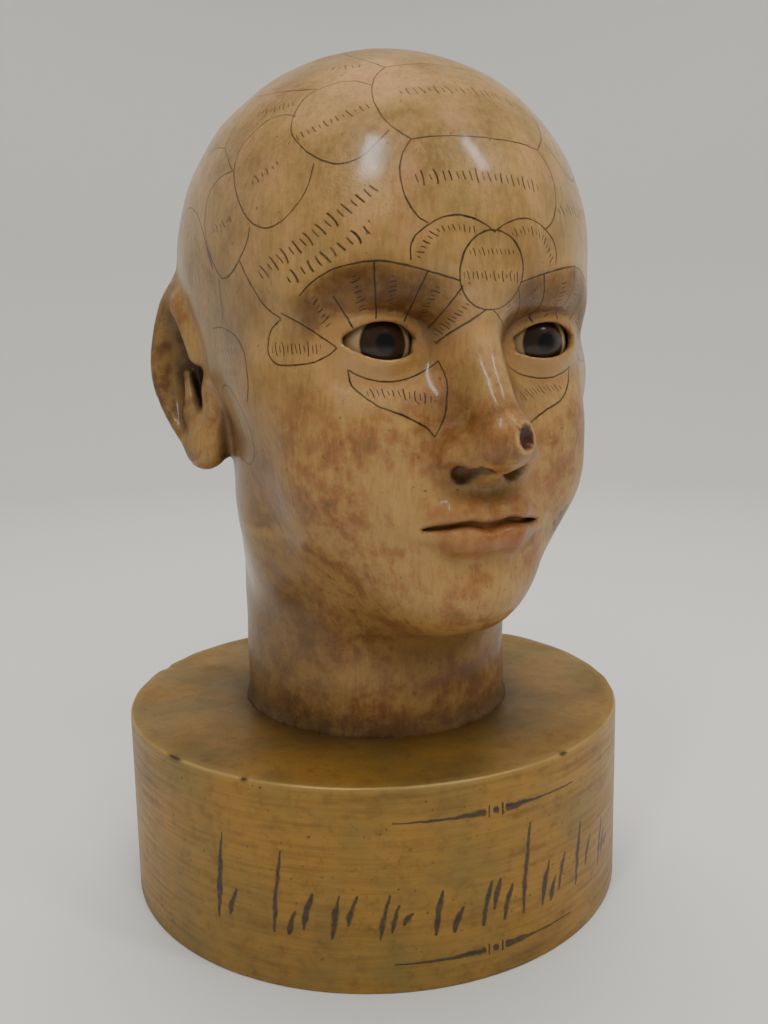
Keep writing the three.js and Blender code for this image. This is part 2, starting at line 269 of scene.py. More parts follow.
def lidFold(p):
    # how deep the fold above the upper lid lies at each point
    across, up = lidFrame(p)
    fold = lids['foldUp'] - 0.02 * across ** 2
    reach = np.clip(1 - (across / 17) ** 2, 0, 1) * np.clip((p[1] - eye['f']) / 6, 0, 1)
    return lids['foldDeep'] * np.exp(-((up - fold) / lids['foldWide']) ** 2) * reach


def earFrame(p):
    # out from the head, up along the leaning ear, and out of its hollow face
    flare, lean = radians(earPlace['flare']), radians(earPlace['lean'])
    x, f, z = p[0] - earPlace['x'], p[1] - earPlace['f'], p[2] - earPlace['z']
    up = z * cos(lean) - f * sin(lean)
    along = z * sin(lean) + f * cos(lean)
    return x * sin(flare) - along * cos(flare), up, x * cos(flare) + along * sin(flare)


def ear(p):
    out, up, face = q = earFrame(p)
    middle = earSize['middleOut'] - 3.5 * np.clip(-up / 36, 0, 1)
    halfWide = earSize['halfWide'] * (1 - 0.28 * np.clip((-up - 2) / 34, 0, 1) ** 1.3)
    reach = np.sqrt(((out - middle) / halfWide) ** 2 + ((up - 0.5) / earSize['halfTall']) ** 2)
    edge = (reach - 1) * 23
    lift = face + 1 - 0.006 * (out - 12) ** 2 - 0.0012 * up * up
    d = np.maximum(np.abs(lift) - earSize['thick'] / 2, edge)
    d = join(d, egg(q, (4, -3, -6), (14, 21, 9)), 6)
    full = np.clip((up + 30) / 30, 0, 1)
    d = join(d, np.sqrt((edge + 3.2) ** 2 + (lift - 2.8) ** 2) - (2.3 + 1.9 * full), 3)
    d = carve(d, egg(q, (10.5, 5, 7.5), (12.5, 22, 10)), 3)
    d = carve(d, egg(q, (8, -6, 3.5), (8, 13, 9)), 3)
    d = join(d, roll(q, (12, 32.5, 3), (6, 25, 6.5), 3.6, 5.2), 3)
    d = join(d, roll(q, (6, 25, 6.5), (0.5, 6, 6.5), 5.2, 4.6), 3)
    d = join(d, roll(q, (15, 1, 0), (11.5, -15, 1.5), 1.6, 3.6), 4)
    d = join(d, roll(q, (11.5, -15, 1.5), (6, -25, 2), 3.6, 4.4), 4)
    d = join(d, egg(q, (-2.5, -9, 3.5), (4.5, 6.5, 4.5)), 4)
    d = join(d, egg(q, (0.5, -20, -1), (5, 10, 6)), 6)
    return join(d, egg(q, (6.5, -29, 1.2), (8.5, 8, 4.8)), 5)


def headForm(side, f, z):
    F = skullForward
    p = [np.abs(side), f, z]
    d = join(skull(p), faceMass(p), 18)
    d = join(d, neck(p), 24)
    d = carve(d, egg(p, (28.5, F + 84.5, 142.5), (21.5, 19, 14.5)), 14)
    d = join(d, roll(p, (7.5, F + 74.5, 160), (28, F + 69.5, 163), 5.5, 5.5), 12)
    d = join(d, roll(p, (28, F + 69.5, 163), (47, F + 52.5, 157), 5.5, 4.5), 12)
    ball = (eye['x'], eye['f'], eye['z'])
    d = join(d, egg(p, ball, (eye['r'] + 3.4, eye['r'] + 2.8, eye['r'] + 3)), 4)
    d = join(d, nose(p), 7)
    d = join(d, upperLip(p), 5)
    d = join(d, lowerLip(p), 5)
    d = join(d, roll(p, (0, F + 94, 106.5), (0, F + 82.5, 101.5), 3.2, 3.8), 3)
    d = carve(d, roll(p, *nostrilShape), 1.4)
    d = carve(d, egg(p, (13.5, F + 88.5, 101.2), (5, 4.2, 4.0)), 2.0)
    d = carve(d, roll(p, (0, F + 89, 98), (0, F + 90, 92), 2, 1.7), 5)
    d = carve(d, mouthGroove(p), 2.0)
    d = carve(d, egg([side, f, z], noseChip['centre'], noseChip['radii']), 0.8)
    ballGap = np.sqrt((p[0] - eye['x']) ** 2 + (f - eye['f']) ** 2 + (z - eye['z']) ** 2) - eye['r']
    d = d + lidFold(p)
    d = carve(d, lidSlit(p), 1.0)
    d = join(d, egg(p, (17.6, eye['f'] + 8.0, 142.2), (3.6, 4.2, 3.2)), 1.4)
    d = join(d, egg(p, (42.2, eye['f'] + 6.0, 144.0), (3.0, 3.6, 2.3)), 1.2)
    d = carve(d, ballGap - 0.25, 0.3)
    d = join(d, ear(p), 4)
    # the low unevenness of a hand-finished carving
    waves = np.sin(side * 0.23 + 1.4 * np.sin(z * 0.11)) * np.sin(f * 0.19 + 1.1 * np.sin(side * 0.09 + 2))
    waves = waves + np.sin(z * 0.27 + 1.9 * np.sin(f * 0.07))
    return np.maximum(d + skin['waves'] * 0.5 * (waves + 1.2), -z - skin['sunk'])


def slopeOf(points, step=0.05):
    # which way the surface faces at each point
    rows = []
    for axis in np.eye(3):
        ahead = headForm(*(points + axis * step).T)
        behind = headForm(*(points - axis * step).T)
        rows.append((ahead - behind) / (2 * step))
    return np.stack(rows, 1)


# A fine skin of quads goes over that form.
grid = dict(
    sideStep=1.42, sideReach=88,
    forward=[(-82, -6, 2.4), (-6, 60, 1.7), (60, 124, 1.2)],
    up=[(-3, 44, 1.9), (44, 176, 1.3), (176, 255, 1.8)],
    block=8)


def steps(stretches):
    rows = [np.arange(start, end, step) for start, end, step in stretches]
    return np.concatenate(rows + [[stretches[-1][1]]])


def fieldNear(X, Y, Z):
    # the field is only worked out in blocks that the surface may cross
    block = grid['block']
    starts = [range(0, len(axis), block) for axis in (X, Y, Z)]
    spans = [[(axis[i], axis[min(i + block, len(axis) - 1)]) for i in start]
             for axis, start in zip((X, Y, Z), starts)]
    middles = np.meshgrid(*[[(a + b) / 2 for a, b in span] for span in spans], indexing='ij')
    halves = np.meshgrid(*[[(b - a) / 2 for a, b in span] for span in spans], indexing='ij')
    coarse = headForm(*[m.astype(np.float32) for m in middles])
    near = np.abs(coarse) < np.sqrt(sum(h * h for h in halves)) * 1.8 + 6
    field = np.repeat(np.repeat(np.repeat(coarse, block, 0), block, 1), block, 2)
    field = field[:len(X), :len(Y), :len(Z)].astype(np.float32)
    todo = np.argwhere(near)
    for first in range(0, len(todo), 256):
        parts, shapes = [], []
        for i, j, k in todo[first:first + 256] * block:
            part = np.meshgrid(X[i:i + block], Y[j:j + block], Z[k:k + block], indexing='ij')
            shapes.append((i, j, k, part[0].shape))
            parts.append(np.stack([q.ravel() for q in part]))
        values = headForm(*np.concatenate(parts, 1).astype(np.float32))
        at = 0
        for i, j, k, shape in shapes:
            size = shape[0] * shape[1] * shape[2]
            field[i:i + shape[0], j:j + shape[1], k:k + shape[2]] = values[at:at + size].reshape(shape)
            at += size
    return field


def skinOf(field, X, Y, Z):
    # one point in each cell that the surface crosses, and one quad round each crossed edge
    axes = [X, Y, Z]
    inside = field < 0
    corners = [(i, j, k) for i in (0, 1) for j in (0, 1) for k in (0, 1)]
    nx, ny, nz = field.shape
    full = sum(inside[i:nx - 1 + i, j:ny - 1 + j, k:nz - 1 + k].astype(np.int8) for i, j, k in corners)
    crossed = (full > 0) & (full < 8)
    cells = np.argwhere(crossed)
    number = -np.ones(crossed.shape, np.int64)
    number[crossed] = np.arange(len(cells))
    total, count = np.zeros((len(cells), 3)), np.zeros(len(cells))
    for corner in corners:
        for axis in range(3):
            if corner[axis]:
                continue
            far = list(corner)
            far[axis] = 1
            a, b = cells + np.array(corner), cells + np.array(far)
            da, db = field[tuple(a.T)], field[tuple(b.T)]
            cut = (da < 0) != (db < 0)
            share = np.where(cut, da / np.where(cut, da - db, 1), 0)
            start = np.stack([axes[n][a[:, n]] for n in range(3)], 1)
            end = np.stack([axes[n][b[:, n]] for n in range(3)], 1)
            total += np.where(cut[:, None], start + share[:, None] * (end - start), 0)
            count += cut
    quads = []
    for axis in range(3):
        u, w = (axis + 1) % 3, (axis + 2) % 3
        low, high = [slice(None)] * 3, [slice(None)] * 3
        low[axis], high[axis] = slice(0, -1), slice(1, None)
        solid, beyond = inside[tuple(low)], inside[tuple(high)]
        edges = np.argwhere(solid != beyond)
        edges = edges[(edges[:, u] > 0) & (edges[:, w] > 0)]
        ring = []
        for du, dw in ((1, 1), (0, 1), (0, 0), (1, 0)):
            cell = edges.copy()
            cell[:, u] -= du
            cell[:, w] -= dw
            ring.append(number[tuple(cell.T)])
        ring = np.stack(ring, 1)
        outward = solid[tuple(edges.T)]
        ring[~outward] = ring[~outward][:, ::-1]
        quads.append(ring)
    return total / count[:, None], np.concatenate(quads)


def settled(points, rounds=2):
    # each point slides along the slope until it lies on the form
    for _ in range(rounds):
        slope = slopeOf(points)
        steep = np.maximum((slope * slope).sum(1), 0.05)
        points = points - slope * (np.clip(headForm(*points.T), -1.5, 1.5) / steep)[:, None]
    return points


def inMetres(points):
    return np.stack([points[:, 0], -points[:, 1], points[:, 2] + plinthTop], 1) / 1000


gridAxes = [np.arange(-grid['sideReach'], grid['sideReach'] + 0.1, grid['sideStep']) + 0.01,
            steps(grid['forward']), steps(grid['up'])]
headPoints, headQuads = skinOf(fieldNear(*gridAxes), *gridAxes)
headPoints = settled(headPoints)
headPoints[:, 2] = np.maximum(headPoints[:, 2], -skin['sunk'])
print('head skin:', len(headPoints), 'points,', 2 * len(headQuads), 'triangles')


# Brush lines are kept as distances on the skin's points, and the material inks them.
heart = np.array([0, skullForward + 8, 143.0])
ink = dict(lineWidth=0.85, band=3.0, apart=7.5, spacing=0.8)


def struck(angles):
    # where a line from the skull's heart leaves the head, from (turn, rise) in degrees
    turn, rise = np.radians(np.array(angles, float).T)
    way = np.stack([-np.sin(turn) * np.cos(rise), np.cos(turn) * np.cos(rise), np.sin(rise)], 1)
    reach = np.full(len(way), 135.0)
    for _ in range(40):
        reach = reach - 0.8 * headForm(*(heart + way * reach[:, None]).T)
    return heart + way * reach[:, None]


def brushLine(points, normals, width=None, closed=False):
    width = ink['lineWidth'] if width is None else width
    return dict(points=points, normals=normals, width=np.broadcast_to(width, len(points)), closed=closed)


def treeOf(points):
    tree = KDTree(len(points))
    for i, point in enumerate(points):
        tree.insert(point, i)
    tree.balance()
    return tree


def sharedOut(lines):
    # lines that come near each other go to different channels
    channels = []
    for line in lines:
        free = None
        for channel in channels:
            gap = min(np.linalg.norm(line['points'][:, None, ::1] - other['points'][None, ::2], axis=2).min()
                      for other in channel)
            if gap > ink['apart']:
                free = channel
                break
        if free is None:
            free = []
            channels.append(free)
        free.append(line)
    return channels


def inkChannels(mesh, skinPoints, lines, name):
    # two channels to a colour layer: across the line, and past its ends or its band
    band, channels = ink['band'], sharedOut(lines)
    values = []
    for channel in channels:
        points = np.concatenate([line['points'] for line in channel])
        normals = np.concatenate([line['normals'] for line in channel])
        width = np.concatenate([line['width'] for line in channel])
        tangents, ends = [], []
        for line in channel:
            tangent = np.gradient(line['points'], axis=0)
            tangents.append(tangent / np.linalg.norm(tangent, axis=1)[:, None])
            end = np.zeros(len(tangent))
            if not line['closed']:
                end[0], end[-1] = -1, 1
            ends.append(end)
        tangents, ends = np.concatenate(tangents), np.concatenate(ends)
        tree = treeOf(points)
        across, past = np.full(len(skinPoints), band), np.full(len(skinPoints), band)
        low, high = points.min(0) - 5, points.max(0) + 5
        close = np.flatnonzero(((skinPoints > low) & (skinPoints < high)).all(1))
        found = [tree.find(skinPoints[i])[1:] for i in close]
        nearest = np.array([hit[0] for hit in found])
        use = np.array([hit[1] for hit in found]) < band * 1.3
        close, nearest = close[use], nearest[use]
        off = skinPoints[close] - points[nearest]
        side = np.cross(normals[nearest], tangents[nearest])
        along = (off * tangents[nearest]).sum(1)
        away = np.sqrt(np.maximum((off * off).sum(1) - along ** 2, 0))
        signed = np.sign((off * side).sum(1)) * away
        across[close] = np.clip(signed * ink['lineWidth'] / width[nearest], -band, band)
        beyond = np.where(ends[nearest] != 0, along * ends[nearest], -band)
        past[close] = np.maximum(beyond, away - band / 2)
        values += [across, past]
    if len(values) % 4:
        values += [np.full(len(skinPoints), band)] * 2
    for k in range(0, len(values), 4):
        storeColour(mesh, f'{name}{k // 4}', values[k:k + 4])
    print(name, 'lines:', len(lines), 'channels:', len(channels))
    return len(values) // 4


# The photograph's camera, fitted to the plinth's round top and foot: how many radii away, and its angles.
picture = dict(wide=768, high=1024)
camera = dict(
    focal=934.0, away=4.043, elevation=19.09, pitch=8.65, yaw=0.86, roll=-1.04, turn=-22.0, unit=102.0)


def cameraPlace():
    pitch, yaw, tilt = [radians(camera[k]) for k in ('pitch', 'yaw', 'roll')]
    rise, away = radians(camera['elevation']), camera['away'] * camera['unit'] / 1000
    place = Vector((0, -away * cos(rise), away * sin(rise) + plinthTop / 1000))
    ahead = Vector((sin(yaw) * cos(pitch), cos(yaw) * cos(pitch), -sin(pitch)))
    right = Vector((cos(yaw), -sin(yaw), 0))
    up = right.cross(ahead)
    across, upright = right * cos(tilt) + up * sin(tilt), up * cos(tilt) - right * sin(tilt)
    matrix = Matrix((across, upright, -ahead)).transposed().to_4x4()
    matrix.translation = place
    return Matrix.Rotation(radians(camera['turn']), 4, 'Z') @ matrix


seeing = dict(start=230.0, rounds=160, share=0.6)


def sightLines(picks):
    # the camera's place and the way to each picked pixel, in the head's own millimetres
    place = np.array(cameraPlace())
    x, y = np.array(picks, float).T
    way = np.stack([x - picture['wide'] / 2, picture['high'] / 2 - y, np.full(len(x), -camera['focal'])], 1)
    way = way @ place[:3, :3].T * [1, -1, 1]
    return place[:3, 3] * [1000, -1000, 1000] - [0, 0, plinthTop], way / np.linalg.norm(way, axis=1)[:, None]


def seen(picks):
    # where picked pixels lie on the head, as (turn, rise) from the skull's heart
    start, way = sightLines(picks)
    reach = np.full(len(way), seeing['start'])
    for _ in range(seeing['rounds']):
        gap = headForm(*(start + way * reach[:, None]).T)
        reach = reach + seeing['share'] * np.clip(gap, -3, 60)
    assert np.abs(gap).max() < 0.3, 'a picked point misses the head'
    off = start + way * reach[:, None] - heart
    turn = np.degrees(np.arctan2(-off[:, 0], off[:, 1]))
    rise = np.degrees(np.arctan2(off[:, 2], np.hypot(off[:, 0], off[:, 1])))
    return list(zip(turn, rise))


def seenAll(lines):
    # the same for a dictionary of lines, struck in one go
    hits = seen([pick for line in lines.values() for pick in line])
    found = {}
    for name, line in lines.items():
        found[name], hits = hits[:len(line)], hits[len(line):]
    return found


# Points picked on the borders, in the photograph's pixels. A middle line is picked on the figure's
# right and mirrored, and a side line is drawn on both sides.
middlePicks = dict(
    foreheadTop=[(411, 139), (442, 136)],
    hairlineTop=[(385, 67), (411, 64), (430, 64)])
sidePicks = dict(
    foreheadSide=[(411, 139), (402, 155), (400, 174), (405, 196), (416, 214), (428, 223)],
    hairlineSide=[(411, 139), (389, 124), (377, 108), (372, 92), (375, 77), (385, 67)],
    crownSide=[(385, 67), (367, 61), (349, 56)],
    browLobe=[(411, 260), (411, 245), (419, 232), (440, 218), (460, 215), (480, 221), (495, 232)],
    upperRing=[(372, 85), (353, 81), (333, 84), (305, 98), (291, 127), (305, 150), (330, 163), (349, 162),
               (367, 152), (389, 130)],
    sideRing=[(296, 116), (283, 115), (267, 121), (245, 142), (236, 160), (234, 177), (238, 199), (250, 221),
              (267, 228), (286, 217), (305, 192), (314, 164)],
    topBand=[(317, 89), (281, 92), (255, 97)],
    topBandSide=[(255, 97), (242, 114), (235, 126), (225, 148)],
    topBandFoot=[(225, 148), (228, 159), (233, 171)],
    rearLobe=[(225, 148), (214, 149), (202, 164)],
    templeRing=[(233, 171), (221, 177), (210, 192), (205, 217), (208, 249), (220, 276), (227, 277),
                (233, 271), (239, 260), (247, 242), (250, 227)],
    lowerLobe=[(189, 208), (197, 214), (203, 232), (207, 249), (213, 269)],
    templeLine=[(239, 260), (247, 277), (264, 305), (281, 319)],
    earwardLine=[(219, 280), (221, 300), (223, 320)],
    browArc=[(299, 296), (311, 283), (336, 268), (374, 261), (411, 266), (442, 275), (461, 281)],
    rayOne=[(333, 296), (344, 313), (353, 328)],
    rayTwo=[(374, 261), (375, 290), (376, 318)],
    rayThree=[(428, 271), (415, 298), (404, 322)],
    rayFour=[(463, 286), (446, 308), (428, 328)],
    rayFive=[(486, 310), (455, 330), (436, 343)],
    cornerPatch=[(281, 319), (271, 330), (268, 346), (270, 357), (279, 365), (298, 365), (315, 362),
                 (330, 354), (337, 348)],
    cornerPatchTop=[(281, 313), (303, 325), (337, 348)],
    cheekPatchTop=[(348, 370), (362, 377), (385, 382), (410, 378), (429, 368), (438, 361)],
    cheekPatchInner=[(438, 361), (446, 378), (447, 397), (444, 418), (435, 437)],
    cheekPatchLow=[(435, 437), (425, 427), (402, 415), (380, 407), (362, 395), (351, 384), (348, 370)],
    besideEar=[(213, 328), (223, 328), (235, 336), (244, 353), (247, 372), (248, 389), (247, 402)])

# What the photograph doesn't show, as (turn, rise) in degrees; turn grows towards the figure's right.
hiddenStarts = dict(lowerLobe=[(104, 32)])
hiddenEnds = dict(crownSide=[(66, 78), (90, 83)], rearLobe=[(103, 38.5), (105, 32)])
backLines = dict(
    nape=[(118, 8), (135, 12), (152, 10), (165, 2), (180, -3)],
    occiput=[(180, 20), (163, 20), (150, 14), (142, 2), (146, -12), (160, -20), (180, -22)],
    hindCrown=[(112, 50), (130, 54), (150, 52), (166, 44), (180, 42)],
    hindSide=[(113, 20), (128, 26), (138, 36), (136, 48), (128, 54)],
    ridge=[(90, 83), (128, 76), (150, 66), (158, 50)],
    behindEar=[(118, 6), (122, -6), (130, -16), (142, -22)])
ringLines = dict(
    browRing=((0, 14.8), (8.0, 7.7)),
    earRing=((79.5, -21.5), (10.5, 11.5)))
dotPicks = [(391, 182), (277, 137), (344, 78)]


def mirrored(points):
    return [(-turn, rise) for turn, rise in points]


def headLine(angles, width=None, closed=False):
    points = struck(smoothLine(angles, 0.55, closed))
    return brushLine(points, slopeOf(points), width, closed)


def ringOf(centre, reach):
    return [(centre[0] + reach[0] * cos(k * tau / 12), centre[1] + reach[1] * sin(k * tau / 12))
            for k in range(12)]


sideLines = seenAll(sidePicks)
for name, points in hiddenStarts.items():
    sideLines[name] = points + sideLines[name]
for name, points in hiddenEnds.items():
    sideLines[name] = sideLines[name] + points
headLines = [headLine(half + mirrored(half)[::-1]) for half in seenAll(middlePicks).values()]
for points in [*sideLines.values(), *backLines.values()]:
    headLines += [headLine(points), headLine(mirrored(points))]
headLines.append(headLine(ringOf(*ringLines['browRing']), closed=True))
earRing = ringOf(*ringLines['earRing'])
headLines += [headLine(earRing, closed=True), headLine(mirrored(earRing), closed=True)]
print('region lines struck')


# Rows of leaning pen strokes inside the borders: (picked points, height and pitch of a stroke in mm).
middleRows = dict(
    hairline=([(400, 92), (470, 91), (525, 109)], 5.0, 4.6),
    forehead=([(416, 178), (484, 176), (540, 188)], 5.2, 4.2),
    browRingUpper=([(470, 252), (514, 252)], 3.2, 3.0),
    browRingLower=([(464, 275), (521, 278)], 3.4, 2.9))
pairedRows = dict(
    browLobe=([(418, 257), (428, 240), (439, 230), (456, 227), (476, 231)], 3.2, 3.3),
    upperRing=([(297, 138), (333, 120), (371, 105)], 4.6, 4.0),
    sideRing=([(252, 182), (278, 164)], 4.2, 4.6),
    topBand=([(249, 116), (296, 103)], 3.6, 4.0),
    templeRing=([(214, 230), (232, 218)], 3.4, 4.0),
    cornerPatch=([(272, 349), (320, 349)], 4.0, 3.0),
    cheekPatch=([(367, 393), (401, 394), (434, 400)], 3.4, 3.4),
    besideEarUpper=([(217, 351), (237, 351)], 2.6, 3.2),
    besideEarLower=([(224, 373), (237, 373)], 2.6, 3.0),
    rayA=([(313, 297), (329, 327)], 3.2, 3.2),
    rayB=([(354, 276), (364, 313)], 3.2, 3.2),
    rayC=([(394, 276), (390, 314)], 3.2, 3.0),
    rayD=([(438, 287), (419, 318)], 3.0, 3.0),
    rayE=([(468, 304), (434, 336)], 3.0, 3.2),
    lowerLobe=([(194, 234), (201, 253)], 3.0, 3.4),
    crown=([(327, 69), (360, 66)], 3.6, 5.0))
rightRows = dict(
    slantLong=([(260, 275), (318, 231), (377, 186)], 6.0, 5.0),
    slantShort=([(288, 280), (330, 254), (372, 227)], 6.2, 6.0))
# this one runs out of sight on the far side, so its places are angles
farRow = ([(-20.9, 27.8), (-31, 29.5), (-42, 30)], 5.2, 5.2)


def struckRows(rows):
    places = seenAll({name: row[0] for name, row in rows.items()})
    return [(places[name], height, pitch) for name, (_, height, pitch) in rows.items()]


def rowLayers(mesh, skinPoints, rows, name):
    # along a row in strokes, across it in heights, past its edge in mm, and the row's own seed
    layers, homes = [], []
    for seed, (angles, height, pitch) in enumerate(rows):
        points = struck(smoothLine(angles, 0.4))
        normals = slopeOf(points)
        tangents = np.gradient(points, axis=0)
        tangents = tangents / np.linalg.norm(tangents, axis=1)[:, None]
        run = np.concatenate([[0], np.cumsum(np.linalg.norm(np.diff(points, axis=0), axis=1))])
        home = 0
        while any(np.linalg.norm(points[:, None] - other[None], axis=2).min() < 10 for other in
                  (homes[home] if home < len(homes) else [])):
            home += 1
        if home == len(homes):
            homes.append([])
            layers.append([np.zeros(len(skinPoints)), np.zeros(len(skinPoints)),
                           np.full(len(skinPoints), 4.0), np.zeros(len(skinPoints))])
        homes[home].append(points)
        low, high = points.min(0) - 8, points.max(0) + 8
        close = np.flatnonzero(((skinPoints > low) & (skinPoints < high)).all(1))
        tree = treeOf(points)
        found = [tree.find(skinPoints[i])[1:] for i in close]
        near = np.array([hit[0] for hit in found])
        use = np.array([hit[1] for hit in found]) < height / 2 + 4
        close, near = close[use], near[use]
        off = skinPoints[close] - points[near]
        forward = (off * tangents[near]).sum(1)
        up = (off * np.cross(normals[near], tangents[near])).sum(1)
        beyond = np.where(near == len(points) - 1, forward, np.where(near == 0, -forward, -4.0))
        layers[home][0][close] = (run[near] + forward) / pitch
        layers[home][1][close] = up / height
        layers[home][2][close] = np.maximum(np.abs(up) - height / 2, beyond)
        layers[home][3][close] = seed + 1
    for k, layer in enumerate(layers):
        storeColour(mesh, f'{name}{k}', layer)
    print(name, 'rows:', len(rows), 'layers:', len(layers))
    return len(layers)


# Tones that follow the form, worked out at the skin's points.
def softStep(value, middle, spread):
    return 1 / (1 + np.exp(np.clip(-(value - middle) / spread, -30, 30)))


def toneLayers(mesh, points):
    side, f, z = points.T
    p = [np.abs(side), f, z]
    normals = slopeOf(points, 0.3)
    normals = normals / np.linalg.norm(normals, axis=1)[:, None]
    # painted shade with patina: how far each point is closed in by the form, 9 mm and 2.6 mm out along its
    # normal, darkens hollows and creases
    hollow = np.clip(1 - headForm(*(points + normals * 9).T) / 9, 0, 1)
    crease = np.clip(1 - headForm(*(points + normals * 2.6).T) / 2.6, 0, 1)
    ridge = np.clip(1 + headForm(*(points - normals * 4).T) / 4, 0, 1)
    off = points - heart
    turn = np.degrees(np.arctan2(-off[:, 0], off[:, 1]))
    rise = np.degrees(np.arctan2(off[:, 2], np.hypot(off[:, 0], off[:, 1])))
    arc = np.array(sorted(sideLines['browArc']))
    arcRise = np.interp(np.abs(turn), arc[:, 0], arc[:, 1])
    brow = softStep(arcRise - rise, 0, 0.5) * softStep(rise, 1.5, 1.5)
    brow = brow * softStep(np.abs(turn), 8, 2) * softStep(-np.abs(turn), -47, 1.5)
    lips = softStep(-np.minimum(upperLip(p), lowerLip(p)), -1.4, 0.5)
    ears = softStep(-ear(p), -2.5, 1.0)
    face = softStep(-z, -128, 6) * softStep(f, 22, 8)
    throat = softStep(-z, -47, 7)
    foot = 0.65 * softStep(-z, -7, 2.6)
    chipAt = np.linalg.norm(points - np.array(noseChip['centre']), axis=1)
    chip = softStep(-chipAt, -noseChip['radii'][0] - 0.5, 0.12)
    bare = np.sqrt(((points - np.array(bareSpot['centre'])) ** 2 / np.array(bareSpot['radii']) ** 2).sum(1))
    ragged = 0.25 * np.sin(f * 1.3 + 2 * np.sin(z * 0.8)) + 0.2 * np.sin(z * 1.1 + side)
    chip = np.maximum(chip, 0.7 * softStep(-bare, -1 + ragged, 0.1))
    chipRim = softStep(-chipAt, -noseChip['radii'][0] - 1.4, 0.3) * (1 - chip)
    ball = np.linalg.norm(np.stack(p, 1) - np.array([eye['x'], eye['f'], eye['z']]), axis=1)
    # painted shade in the narrow gap between the lids and the glass eye
    socket = softStep(-ball, -eye['r'] - 0.9, 0.25)
    lid = softStep(-ball, -eye['r'] - 4.6, 1.0)
    faint = 1 - 0.4 * softStep(z, 218, 12) - 0.3 * softStep(np.abs(turn), 84, 12)
    storeColour(mesh, 'marks', [chip, chipRim, socket, lid])
    # painted shade, tinted sienna, down each side of the nose
    noseSideShade = np.exp(-((np.abs(side) - 12.5) / 5.5) ** 2) * softStep(f, 86, 3)
    noseSideShade = noseSideShade * softStep(z, 104, 4) * softStep(-z, -150, 5)
    temple = softStep(np.abs(turn), 58, 5) * softStep(-rise, -22, 9) * (1 - ears) * softStep(f, -20, 8)
    out, up, faceOut = earFrame(p)
    reach = np.hypot((out - earSize['middleOut']) / earSize['halfWide'], (up - 0.5) / earSize['halfTall'])
    lift = faceOut + 1 - 0.006 * (out - 12) ** 2 - 0.0012 * up * up
    bowl = ears * softStep(-reach, -0.8, 0.05) * softStep(-lift, -2.6, 0.7)
    nostril = softStep(-roll(p, *nostrilShape), -0.7, 0.4)
    # the ear's bowl and the nostrils join the painted shade in the hollows
    hollow = np.maximum(np.maximum(hollow, 1.8 * bowl), 2 * nostril)
    ridge = np.maximum(ridge, ears * np.exp(-((reach - 1) / 0.035) ** 2)) * (1 - foot / 0.65)
    earShade = ears * np.clip(softStep(out, 9, 2.5) + bowl, 0, 1)
    storeColour(mesh, 'paint', [lips, brow, earShade, np.maximum(face, ears)])
    storeColour(mesh, 'form', [hollow, crease, ridge, faint])
    storeColour(mesh, 'low', [throat, foot, noseSideShade, temple])


# Gesso and oil paint over carved wood, rubbed back and varnished: warm, mottled, a soft gloss.
# the darkest tone is for the painted shade in hollows and creases, together with their patina
headFinish = dict(
    light='#B58B57', mid='#9D7944', deep='#7D5F31', cream='#A27E49', sienna='#85512B', umber='#54341A',
    hollowShadeAndPatina='#2A1B0E', inkTone='#21160B', lip='#804426',
    patch=26.0, fleck=4.5, grain=0.9, blot=9.0, brushed=1.7, cloud=17.0)


